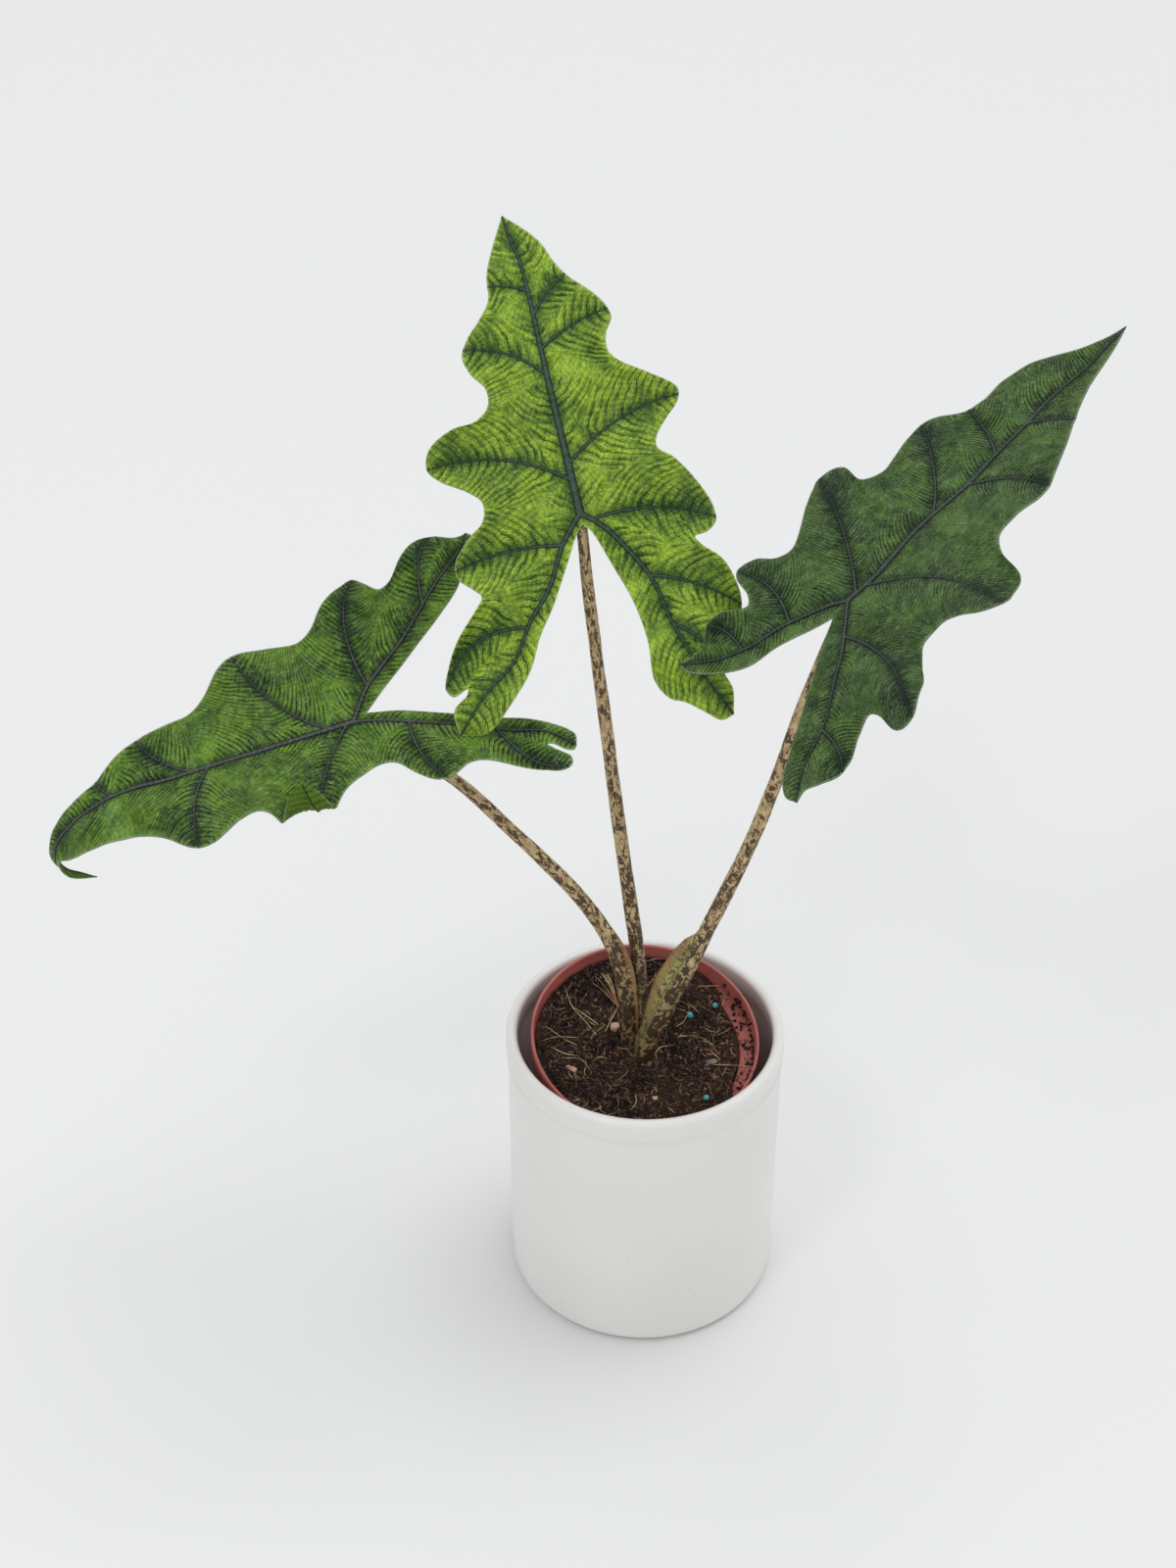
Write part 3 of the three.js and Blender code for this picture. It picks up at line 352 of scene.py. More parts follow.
def terracotta_plastic():
    material, tree, shader = new_material("terracotta plastic", IOR=1.46)
    place = object_place(tree)
    height, mask = grain(tree, place, 30, 900, 0.3)
    fade = ramp(tree, noise(tree, place, 22, 3), 0.35, 0.68)
    body = blend(tree, fade, (0.47, 0.13, 0.105), (0.35, 0.085, 0.07))
    dust = ramp(tree, noise(tree, place, 190, 5, 0.7), 0.53, 0.62)
    low = ramp(tree, add(tree, "SeparateXYZ", {0: place}).outputs["Z"], 0.15, 0.162, 0.85, 0.12)
    dirt = calc(tree, "MULTIPLY", dust, low)
    tree.links.new(blend(tree, dirt, body, (0.055, 0.03, 0.02)), shader.inputs["Base Color"])
    tree.links.new(ramp(tree, mask, 0, 1, 0.38, 0.55), shader.inputs["Roughness"])
    bump(tree, shader, height, 0.0003, 0.4)
    return material


pot_points, pot_faces = turned(nursery_pot_profile(), 160)
nursery_pot = make_piece("nursery_pot_moulded", from_pot(pot_points), pot_faces)
cut_drain_holes(nursery_pot)
fit(nursery_pot, terracotta_plastic(), "terracotta_plastic", "nursery_pot")


# Soil: dark crumbly peat that fills the nursery pot, heaped at the stems. It holds loose
# crumbs, straw fibres, chips of bark and the frayed stump of an old stalk.
SOIL_DEPTH = 7
SOIL_LUMPS = 1.1
SOIL_SLACK = 0.4
SOIL_FOOT = POT_WALL - POT_HEIGHT + GAP
MOUND_HEIGHT = 3
MOUND_PLACE = (-3, -3)
MOUND_SPREAD = 16
DIP_DEPTH = 4.6
DIP_START = 22
DIP_LENGTH = 26
BARE_ANGLE = 0.1
BARE_FROM = 0.72
BARE_OVER = 0.2
LEDGE_ZONE = 12


def smooth01(x):
    x = np.clip(x, 0, 1)
    return x * x * (3 - 2 * x)


def value_noise(x, y, size, seed):
    """Smooth random heights from -1 to 1: seeded numbers on a square lattice of this size in
    mm, joined by smooth steps. The lattice is shifted well clear of the origin."""
    cells, shift = 64, 200
    lattice = np.random.default_rng(seed).uniform(-1, 1, (cells, cells))
    u, v = x / size + shift, y / size + shift
    i, j = np.floor(u).astype(int), np.floor(v).astype(int)
    fu, fv = smooth01(u - i), smooth01(v - j)

    def at(di, dj):
        return lattice[(i + di) % cells, (j + dj) % cells]

    near = at(0, 0) * (1 - fu) + at(1, 0) * fu
    far = at(0, 1) * (1 - fu) + at(1, 1) * fu
    return near * (1 - fv) + far * fv


def soil_reach(angle):
    """How far the soil reaches from the pot's axis: to the collar, and on the right only to the
    ledge, as the cosine of the angle from there tells."""
    full = RIM_RADIUS - 1 - POT_WALL - GAP - SOIL_SLACK
    bare = smooth01((np.cos(angle - BARE_ANGLE) - BARE_FROM) / BARE_OVER)
    return full - COLLAR_STEP * bare


def soil_top(x, y):
    """Height of the smoothed soil under the rim's plane: a heap at the stems, a dip on the
    right and slow lumps."""
    far = np.hypot(x - MOUND_PLACE[0], y - MOUND_PLACE[1]) / MOUND_SPREAD
    dip = DIP_DEPTH * smooth01((x - DIP_START) / DIP_LENGTH)
    waves = np.sin(x / 4.1 + 0.7) * np.cos(y / 3.7 - 0.4)
    waves = waves + 0.6 * np.sin((x + y) / 2.9 + 1.9) + 0.5 * np.cos((x - 1.7 * y) / 6.3)
    top = -SOIL_DEPTH - dip + MOUND_HEIGHT * np.exp(-far * far) + 0.5 * SOIL_LUMPS * waves
    edge = RIM_RADIUS - COLLAR_STEP - POT_WALL - LEDGE_ZONE
    return np.where(np.hypot(x, y) > edge, np.maximum(top, LEDGE + 3 * GAP), top)


def crumbly(x, y):
    """The soil's own roughness: three sizes of crumbs, the coarse ones raised like pebbles."""
    coarse = value_noise(x, y, 5.5, 1) + value_noise(x, y, 3.1, 2)
    medium = np.abs(value_noise(x, y, 1.9, 3)) + np.abs(value_noise(x + 9, y, 1.5, 4))
    return 0.5 * coarse + 1.0 * medium + 0.3 * value_noise(x, y, 0.8, 5) - 0.7


def soil_mesh(rings=110, sides=330):
    """Rings from the middle of the top out to the wall, whose height is the smoothed soil's plus
    its roughness, then down inside the pot to its floor. The faces are turned over, because the
    rings run outwards from the top."""
    share = (np.arange(1, rings + 1) / rings)[:, None]
    angle = (2 * np.pi * np.arange(sides) / sides)[None, :]
    r = share * soil_reach(angle)
    x, y = r * np.cos(angle), r * np.sin(angle)
    top = soil_top(x, y) + crumbly(x, y) * smooth01((1 - share) / 0.04)
    neck = NECK_RADIUS - POT_WALL - GAP - SOIL_SLACK / 2
    foot = POT_FOOT_RADIUS - POT_WALL - GAP - 0.5
    skirt = [(soil_reach(angle) - 0.1, LEDGE + GAP), (neck, LEDGE + GAP), (neck, LEDGE - 2),
             (foot, SOIL_FOOT)]
    rows_r = np.vstack([r, *[np.broadcast_to(row, (1, sides)) for row, _ in skirt]])
    rows_z = np.vstack([top, *[np.full((1, sides), z) for _, z in skirt]])
    places = np.stack([rows_r * np.cos(angle), rows_r * np.sin(angle), rows_z], -1)
    points, faces = closed_rings(places, [0, 0, soil_top(0.0, 0.0)], [0, 0, SOIL_FOOT])
    return from_pot(points), [face[::-1] for face in faces]


def peat():
    material, tree, shader = new_material("peat", Specular_IOR_Level=0.25)
    place = object_place(tree)
    height, mask = grain(tree, place, 260, 1400, 0.6)
    damp = ramp(tree, noise(tree, place, 45, 4), 0.38, 0.62)
    body = blend(tree, damp, (0.007, 0.004, 0.003), (0.034, 0.017, 0.011))
    crumbs = ramp(tree, noise(tree, place, 420, 4, 0.65), 0.52, 0.68)
    body = blend(tree, crumbs, body, (0.12, 0.065, 0.042))
    flecks = ramp(tree, noise(tree, place, 900, 2), 0.66, 0.72)
    tree.links.new(blend(tree, flecks, body, (0.3, 0.2, 0.13)), shader.inputs["Base Color"])
    tree.links.new(ramp(tree, mask, 0, 1, 0.7, 0.95), shader.inputs["Roughness"])
    bump(tree, shader, height, 0.0009)
    return material


PEAT = peat()
soil = make_piece("soil_peat", *soil_mesh())
fit(soil, PEAT, "peat_soil", "soil")


def icosphere(level):
    """Unit points and faces of an icosphere of this level."""
    made = bmesh.new()
    bmesh.ops.create_icosphere(made, subdivisions=level, radius=1)
    points = np.array([v.co for v in made.verts])
    faces = np.array([[v.index for v in f.verts] for f in made.faces])
    made.free()
    return points, faces


def on_soil(count, rng, inside=0.96):
    """Random places [x, y] in the pot's frame, even over the soil."""
    angle = rng.uniform(0, 2 * np.pi, count)
    r = np.sqrt(rng.uniform(0, 1, count)) * inside * soil_reach(angle)
    return r * np.cos(angle), r * np.sin(angle)


def scattered(places, shape, sizes, seed):
    """Copies of a small shape at places in the pot's frame, each squashed and turned: every
    point is the shape's point times three random half sizes, turned by a random rotation."""
    rng = np.random.default_rng(seed)
    points, faces = shape
    count = len(places)
    half = rng.uniform(*sizes, count)[:, None] * rng.uniform(0.55, 1.25, (count, 3))
    dents = 1 + rng.uniform(-0.28, 0.28, (count, len(points), 1))
    turns, _ = np.linalg.qr(rng.normal(size=(count, 3, 3)))
    turns = turns * np.sign(np.linalg.det(turns))[:, None, None]
    local = np.einsum("nij,npj->npi", turns, points[None] * dents * half[:, None])
    local += places[:, None]
    offsets = np.arange(count)[:, None, None] * len(points)
    return from_pot(local.reshape(-1, 3)), (faces[None] + offsets).reshape(-1, 3).tolist()


def strewn(count, seed):
    """Random places on top of the rough soil."""
    x, y = on_soil(count, np.random.default_rng(seed))
    return np.stack([x, y, soil_top(x, y) + crumbly(x, y) + 0.1], 1)


def spilt(count, seed):
    """Random places on the right: a little over half of them on the pot's bare ledge, the rest
    up to 8 mm up the wall behind it."""
    rng = np.random.default_rng(seed)
    angle = rng.uniform(-0.5, 0.75, count)
    climb = rng.uniform(0, 1, count) ** 2
    lying = climb < 0.3
    r = RIM_RADIUS - 2.5 - rng.uniform(0, COLLAR_STEP - 1, count) * lying
    z = LEDGE + 0.3 + 8 * climb * ~lying
    return np.stack([r * np.cos(angle), r * np.sin(angle), z], 1)


CRUMB_SIZES = (0.3, 1.2)
fit(make_piece("soil_crumbs", *scattered(strewn(2800, 21), icosphere(1), CRUMB_SIZES, 22)),
    PEAT, "peat_soil")
fit(make_piece("soil_spilt_crumbs", *scattered(spilt(90, 23), icosphere(2), CRUMB_SIZES, 24)),
    PEAT, "peat_soil")


def smooth_line(points, per=16):
    """A centripetal Catmull-Rom spline through given points: between two of them it is the
    Hermite cubic whose tangents come from chords measured by their square roots."""
    p = np.asarray(points, float)
    p = np.vstack([2 * p[0] - p[1], p, 2 * p[-1] - p[-2]])
    p0, p1, p2, p3 = p[:-3], p[1:-2], p[2:-1], p[3:]
    knots = [np.sqrt(np.linalg.norm(b - a, axis=1))[:, None] + 1e-9
             for a, b in ((p0, p1), (p1, p2), (p2, p3))]
    d0, d1, d2 = knots
    start = ((p1 - p0) / d0 - (p2 - p0) / (d0 + d1) + (p2 - p1) / d1) * d1
    stop = ((p2 - p1) / d1 - (p3 - p1) / (d1 + d2) + (p3 - p2) / d2) * d1
    t = (np.arange(per) / per)[None, :, None]
    cubic = ((1 + 2 * t) * (1 - t) ** 2 * p1[:, None] + t * (1 - t) ** 2 * start[:, None]
             + t * t * (3 - 2 * t) * p2[:, None] + t * t * (t - 1) * stop[:, None])
    return np.vstack([cubic.reshape(-1, p.shape[1]), p[-2:-1]])


class Line:
    """A smooth line through given points, read by its running length in mm."""

    def __init__(self, points, per=16):
        self.places = smooth_line(points, per)
        steps = np.linalg.norm(np.diff(self.places, axis=0), axis=1)
        self.run = np.concatenate([[0], np.cumsum(steps)])
        self.length = self.run[-1]

    def at(self, s):
        return np.stack([np.interp(s, self.run, c) for c in self.places.T], axis=-1)

    def nearest(self, point):
        return self.run[np.argmin(np.linalg.norm(self.places - point, axis=1))]


def path_tangents(places):
    """Unit vectors along a path at each of its points."""
    tangents = np.gradient(places, axis=0)
    return tangents / np.linalg.norm(tangents, axis=1)[:, None]


def carried_frames(places):
    """Two unit vectors across a path at each of its points, that don't spin about it: the first
    is carried along by taking off its part along each tangent."""
    tangents = path_tangents(places)
    side = np.cross(tangents[0], [0.31, 0.91, 0.27])
    sides = []
    for tangent in tangents:
        side = side - tangent * (side @ tangent)
        side = side / np.linalg.norm(side)
        sides.append(side)
    sides = np.array(sides)
    return sides, np.cross(tangents, sides)


def tube(places, radius, sides):
    """A closed round bar: around each point of the path a ring of this radius, tip and root
    closed by a fan."""
    across, beside = carried_frames(places)
    angle = 2 * np.pi * np.arange(sides) / sides
    out = (np.cos(angle)[None, :, None] * across[:, None]
           + np.sin(angle)[None, :, None] * beside[:, None])
    rings = places[:, None] + out * np.asarray(radius)[:, None, None]
    return closed_rings(rings, places[0], places[-1])


def gathered(parts):
    """Several closed bodies in the pot's frame as one list of points and one of faces."""
    points, faces, count = [], [], 0
    for body, body_faces in parts:
        points.append(body)
        faces += [[i + count for i in face] for face in body_faces]
        count += len(body)
    return from_pot(np.vstack(points)), faces


def fibre(rng, x, y, length, thick, lift):
    """One thin fibre lying on the soil: a bent line of five points whose middle and ends follow
    the soil, some with an end in the air."""
    heading = rng.uniform(0, 2 * np.pi)
    bend = rng.uniform(-0.5, 0.5)
    share = np.linspace(-0.5, 0.5, 5)
    turn = heading + bend * share * 2
    px = x + length * share * np.cos(turn)
    py = y + length * share * np.sin(turn)
    reach = soil_reach(np.arctan2(py, px)) * 0.985
    inward = np.minimum(1, reach / np.maximum(np.hypot(px, py), 1e-6))
    px, py = px * inward, py * inward
    pz = soil_top(px, py) + crumbly(px, py) * 0.6 + thick + 0.25
    pz = pz + lift * rng.uniform(0, 1) * (share + 0.5) ** 2 + rng.uniform(-0.2, 0.5, 5)
    places = smooth_line(np.stack([px, py, pz], 1), 3)
    taper = thick * (1 - 0.6 * np.abs(np.linspace(-1, 1, len(places))) ** 2)
    return tube(places, taper, 4)


def fibres(count, lengths, thick, lift, seed):
    """Many thin fibres, their lengths and thicknesses in mm between two limits."""
    rng = np.random.default_rng(seed)
    xs, ys = on_soil(count, rng, 0.94)
    return gathered([fibre(rng, x, y, rng.uniform(*lengths), rng.uniform(*thick), lift)
                     for x, y in zip(xs, ys)])


def fibre_material(name, dark, light):
    material, tree, shader = new_material(name, Roughness=0.75)
    place = object_place(tree)
    height, _ = grain(tree, place, 180, 1500, 0.5)
    share = ramp(tree, noise(tree, place, 90, 3), 0.35, 0.65)
    tree.links.new(blend(tree, share, dark, light), shader.inputs["Base Color"])
    bump(tree, shader, height, 0.0002, 0.6)
    return material


STRAW = fibre_material("straw", (0.2, 0.11, 0.05), (0.6, 0.47, 0.25))
ROOTLET = fibre_material("dark rootlet", (0.05, 0.022, 0.012), (0.24, 0.11, 0.06))
LOOSE_BITS = {
    "soil_straw": (fibres(45, (6, 13), (0.13, 0.26), 1.5, 31), STRAW),
    "soil_straw_bits": (fibres(190, (1.5, 5), (0.1, 0.22), 0.8, 33), STRAW),
    "soil_rootlets": (fibres(420, (2, 8), (0.1, 0.28), 0.8, 32), ROOTLET),
    "soil_bark_bits": (scattered(strewn(420, 25), icosphere(1), (0.35, 0.9), 26), ROOTLET),
}
for bits_name, (bits_mesh, bits_material) in LOOSE_BITS.items():
    fit(make_piece(bits_name, *bits_mesh), bits_material, "peat_soil")

# Places [x, y] of the longest straws in the pot's frame, then of the torn skin round the corm.
LONG_STRAWS = [
    [(-42.5, 33), (-38, 19), (-32, 11), (-25, 1.5)], [(-38, 19), (-30.5, 13.5), (-24, 8)],
    [(28.5, 38), (38, 41), (44.5, 41)], [(40, 39), (42.5, 34), (40.5, 27.5)],
    [(35.5, -10), (47, -9.5), (56, -9)], [(0, 51), (5, 53.5), (10.5, 54)],
    [(4.5, -11.5), (7.5, -5), (15.5, -1.5)], [(-20.5, 4), (-17, 13), (-14.5, 20)],
    [(-51.5, 6), (-41.5, -2), (-34.5, -5.5)], [(-54, -4.5), (-45, -1), (-35, -0.5)],
    [(-48, -7.5), (-40.5, -11), (-33, -12)], [(-42.5, -13.5), (-32.5, -14), (-27.5, -20)],
    [(23, 21), (20, 13), (16, 10)], [(22.5, 27), (25.5, 23.5), (29, 20)],
]
TORN_SKIN = [[(-14, 16), (-13, 5.5), (-9.5, -7), (-4, -12.5), (1, -13)]]
STUMP = ((-24, 40), (-14, 21))
STUMP_STRANDS = 16


def laid(lines, thick, lift):
    """Given lines laid on the soil as thin closed bars that taper to their ends."""
    parts = []
    for line in lines:
        x, y = np.array(line, float).T
        z = soil_top(x, y) + crumbly(x, y) * 0.5 + lift
        places = smooth_line(np.stack([x, y, z], 1), 5)
        taper = thick * (1 - 0.5 * np.linspace(-1, 1, len(places)) ** 2)
        parts.append(tube(places, taper, 5))
    return gathered(parts)


def frayed_stump():
    """Strands that start together at the stump's foot, rise and spread towards its torn end."""
    rng = np.random.default_rng(41)
    (x0, y0), (x1, y1) = STUMP
    share = np.linspace(0, 1, 5)
    parts = []
    for _ in range(STUMP_STRANDS):
        length = rng.uniform(0.5, 1.05)
        spread = rng.normal(0, 1, 2) * 2.6
        x = x1 + (x0 - x1 + spread[0]) * share * length
        y = y1 + (y0 - y1 + spread[1]) * share * length
        z = soil_top(x, y) + 0.6 + rng.uniform(0.5, 5.5) * np.sin(np.pi * share * 0.8)
        places = smooth_line(np.stack([x, y, z], 1), 4)
        taper = 1 - 0.6 * np.linspace(0, 1, len(places))
        parts.append(tube(places, rng.uniform(0.15, 0.42) * taper, 5))
    return gathered(parts)


def chip(x, y, half, heading, lift):
    """One flat rounded flake on the soil, its half sizes in mm."""
    ball, faces = icosphere(3)
    rough = 1 + 0.22 * value_noise(ball[:, 0] * 3 + x, ball[:, 1] * 3 + y, 1, 45)
    flake = np.sign(ball) * np.abs(ball) ** 0.7 * rough[:, None] * half
    c, s = math.cos(heading), math.sin(heading)
    turned_flake = flake @ np.array([[c, s, 0], [-s, c, 0], [0, 0, 1]])
    z = float(soil_top(x, y) + crumbly(np.array(x), np.array(y))) + lift
    return from_pot(turned_flake + [x, y, z]), faces.tolist()


fit(make_piece("soil_long_straws", *laid(LONG_STRAWS, 0.27, 1.3)), STRAW, "peat_soil")
fit(make_piece("corm_torn_skin", *laid(TORN_SKIN, 0.5, 0.9)), ROOTLET, "peat_soil")
FRAYED_STALK = fibre_material("frayed stalk", (0.3, 0.12, 0.05), (0.62, 0.5, 0.26))
fit(make_piece("soil_frayed_stump", *frayed_stump()), FRAYED_STALK, "peat_soil")
PINK_WOOD = fibre_material("pink wood", (0.36, 0.17, 0.12), (0.62, 0.4, 0.3))
GREY_WOOD = fibre_material("grey wood", (0.09, 0.06, 0.06), (0.22, 0.16, 0.16))
CHIPS = {
    "soil_corm_bud": (-15.5, 7.5, (2.1, 2.4, 2.2), 0.3, 1.2, PINK_WOOD),
    "soil_pink_chip": (-37, -19.5, (3.3, 1.3, 0.5), 2.6, 0.9, PINK_WOOD),
    "soil_red_crumb": (6, -33.5, (1.5, 1.1, 0.8), 0.2, 0.8, PINK_WOOD),
    "soil_grey_chip": (34.5, -8.5, (3.6, 1.7, 0.6), 0.35, 1, GREY_WOOD),
}
for chip_name, (*chip_shape, chip_material) in CHIPS.items():
    fit(make_piece(chip_name, *chip(*chip_shape)), chip_material, "peat_soil")


# Fertiliser beads: coated teal grains about 3 mm across, that lie on the soil where they were
# strewn.
BEADS = {
    "fertiliser_bead_back": (23.5, 18, 1.6),
    "fertiliser_bead_right": (37, 27.5, 1.5),
    "fertiliser_bead_front": (32, -32, 1.6),
}


def grained_material(name, rough, scales, dark, light, depth):
    """A finish of two colours mixed by the shared grain, which also gives its relief."""
    material, tree, shader = new_material(name, Roughness=rough)
    height, mask = grain(tree, object_place(tree), *scales)
    tree.links.new(blend(tree, mask, dark, light), shader.inputs["Base Color"])
    bump(tree, shader, height, depth)
    return material


BEAD_COATING = grained_material("bead coating", 0.4, (500, 2500, 0.4), (0.03, 0.3, 0.27),
                                (0.09, 0.45, 0.4), 0.0002)
for bead_name, (bead_x, bead_y, bead_radius) in BEADS.items():
    ball, ball_faces = icosphere(4)
    dent = 1 + 0.05 * value_noise(ball[:, 0] * 9 + bead_x, ball[:, 1] * 9 + ball[:, 2] * 5, 4, 7)
    bead_z = float(soil_top(bead_x, bead_y)) + bead_radius + GAP
    bead_points = from_pot(ball * dent[:, None] * bead_radius + [bead_x, bead_y, bead_z])
    bead = make_piece(bead_name + "_coated", bead_points, ball_faces.tolist())
    fit(bead, BEAD_COATING, "bead_coating", bead_name)


# Corm: the swollen stem base with its thickest roots, buried in the soil. Its CAD solid keeps
# its shape and gets a dry, fibrous skin.
CORM_SKIN = grained_material("corm skin", 0.85, (120, 800, 0.7), (0.16, 0.09, 0.045),
                             (0.36, 0.24, 0.14), 0.0008)
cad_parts["corm"].data.materials.clear()
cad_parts["corm"].data.materials.append(CORM_SKIN)


# Petioles: the leaf stalks, smooth and mottled, round above and opening below into a channelled
# sheath. Each grows out of the corm and runs up into its blade's underside.
PETIOLES = {
    "left": {
        "path": [(-138, -12, 359.6), (-120.3, -12.3, 349.2), (-105.5, -11.7, 338),
                 (-89.4, -10.5, 323.5), (-78.8, -10.2, 311.9), (-69.3, -9.9, 300.1),
                 (-59.2, -9.6, 288.2), (-49.4, -9.3, 276.2), (-39.8, -9, 264),
                 (-31.2, -8.7, 251.6), (-23.9, -8.5, 239.1), (-19.5, -8.3, 230.3),
                 (-16.3, -8.2, 222.1), (-14, -8.1, 213.3), (-11.5, -8.1, 201.7),
                 (-9.6, -8, 184.3), (-8.9, -8, 171), (-8.5, -8, 157), (-8.5, -8, 142.5)],
        "radii": [(0, 2.4), (0.45, 3.35), (0.68, 3.95), (1, 4)],
        "faces": (0.85, 0.4, 0.5),
        "lips": [(0.62, 0, 0), (0.7, 0.2, 0.65), (0.75, 0.2, 0.85), (0.82, 0.1, 0.6),
                 (1, 0.1, 0.4)],
        "groove": 0.25,
        "blade_up": (-0.17, -0.095, 0.98),
    },
    "middle": {
        "path": [(-33.3, 24.5, 451), (-31.5, 22.7, 433.6), (-29.7, 21, 413.7),
                 (-27.3, 18.8, 393.8), (-25, 16.5, 373.5), (-22.3, 14, 353),
                 (-19.7, 11.4, 332.1), (-17.2, 9, 310.6), (-14.4, 6.4, 289),
                 (-11.5, 3.6, 266.9), (-8.4, 0.6, 244.6), (-5.2, -2.3, 220.8),
                 (-3.6, -3.8, 204.9), (-2.6, -4.7, 191.9), (-1.7, -5.2, 179.9),
                 (-1.1, -5.3, 165.3), (-1, -5.3, 155), (-1, -5.3, 142.5)],
        "radii": [(0, 2.65), (0.55, 3.4), (0.8, 3.75), (0.92, 3.6)],
        "faces": (0.2, 1, 0.2),
        "lips": [(0.8, 0, 0), (0.88, 0.1, 0.1), (1, 0.1, 0.1)],
        "groove": 0.2,
        "blade_up": (0, -0.8, 0.6),
    },
    "right": {
        "path": [(85.5, -25, 437.5), (78.8, -24.2, 415.2), (72.1, -23.3, 391.1),
                 (66.4, -22.5, 368.9), (61.3, -21.9, 346.3), (55.5, -21.2, 323),
                 (48.7, -20.3, 299), (40.5, -19.3, 274.1), (31.6, -18.2, 248.5),
                 (22.1, -17, 222.4), (12.5, -16, 198.7), (6.5, -16, 181.2),
                 (1.5, -15.8, 168.5), (-0.6, -15.6, 157), (-1, -15.5, 142.5)],
        "radii": [(0, 2.4), (0.5, 3.55), (0.66, 3.85), (0.72, 4.6), (0.8, 5.5), (0.88, 5.8)],
        "faces": (-0.95, -0.15, 0.3),
        "lips": [(0.675, 0, 0), (0.7, 0.1, 0.8), (0.74, 0.12, 1.15), (0.8, 0.15, 1.1),
                 (0.85, 0.15, 0.7), (0.9, 0.15, 0.1), (1, 0.1, 0)],
        "groove": 0.35,
        "blade_up": (-0.537, -0.102, 0.837),
    },
}
LIP_ANGLE = 0.7
LIP_WIDTH = 0.17
SEAT_DEPTH = 0.6
SEAT_FADE = 9


def table(pairs, x):
    """Reads a table of (place, value) pairs between its places."""
    places, values = np.array(pairs, float).T
    return np.interp(x, places, values)


def seated(points, places, tangent, run, blade_up):
    """Slides the first rings along the stalk, so that its top lies inside its blade: a point of
    the first ring by its height over the seat, the next ones by less and less."""
    up = np.array(blade_up) / np.linalg.norm(blade_up)
    height = (points[0] - places[0]) @ up + SEAT_DEPTH
    slide = -height / (tangent @ up)
    fade = np.clip(1 - run / SEAT_FADE, 0, None)[:, None]
    return points + (fade * slide)[..., None] * tangent


def petiole_mesh(path, radii, faces, lips, groove, blade_up, rings=280, sides=72):
    """Rings across a smooth path, told by the angle from the side that the sheath faces. The
    radius follows its table, and grows at the two lips and shrinks between them."""
    line = Line(path)
    share = np.linspace(0, 1, rings)
    run = share * line.length
    places = line.at(run)
    tangents = path_tangents(places)
    toward = np.array(faces) - tangents * (tangents @ np.array(faces))[:, None]
    toward /= np.linalg.norm(toward, axis=1)[:, None]
    beside = np.cross(tangents, toward)
    angle = (2 * np.pi * np.arange(sides) / sides + np.pi) % (2 * np.pi) - np.pi
    turn, length = np.meshgrid(angle, run)
    first, second = (table([(place, pair[k]) for place, *pair in lips], share)[:, None]
                     for k in (0, 1))
    opened = smooth01((share - lips[0][0]) / 0.1)[:, None]
    lip = (first * np.exp(-(((turn + LIP_ANGLE) / LIP_WIDTH) ** 2))
           + second * np.exp(-(((turn - LIP_ANGLE) / LIP_WIDTH) ** 2)))
    channel = groove * opened * np.exp(-3 * (turn / LIP_ANGLE) ** 2)
    waver = 0.07 * np.sin(length / 9 + 2 * turn) + 0.04 * np.sin(length / 4.3 - turn)
    radius = table(radii, share)[:, None] * (1 + lip - channel) + waver
    points = (places[:, None] + (radius * np.cos(turn))[..., None] * toward[:, None]
              + (radius * np.sin(turn))[..., None] * beside[:, None])
    points = seated(points, places, tangents[0], run, blade_up)
    values = {
        "low": np.broadcast_to(share[:, None], turn.shape).ravel(),
        "inside": (opened * smooth01((LIP_ANGLE - np.abs(turn)) / 0.2 + 0.5)).ravel(),
        "rim": np.clip(lip / 0.3, 0, 1).ravel(),
        "skin": np.stack([np.cos(turn) * 3, np.sin(turn) * 3, length], -1).reshape(-1, 3),
    }
    faces = ring_faces(rings, sides)
    faces.append(list(range(sides))[::-1])
    top = (rings - 1) * sides
    faces.append([top + i for i in range(sides)])
    return points.reshape(-1, 3), faces, values


def read(tree, name, output="Fac"):
    """The output of a value kept at the points of a mesh."""
    return add(tree, "Attribute", attribute_name=name, attribute_type="GEOMETRY").outputs[output]


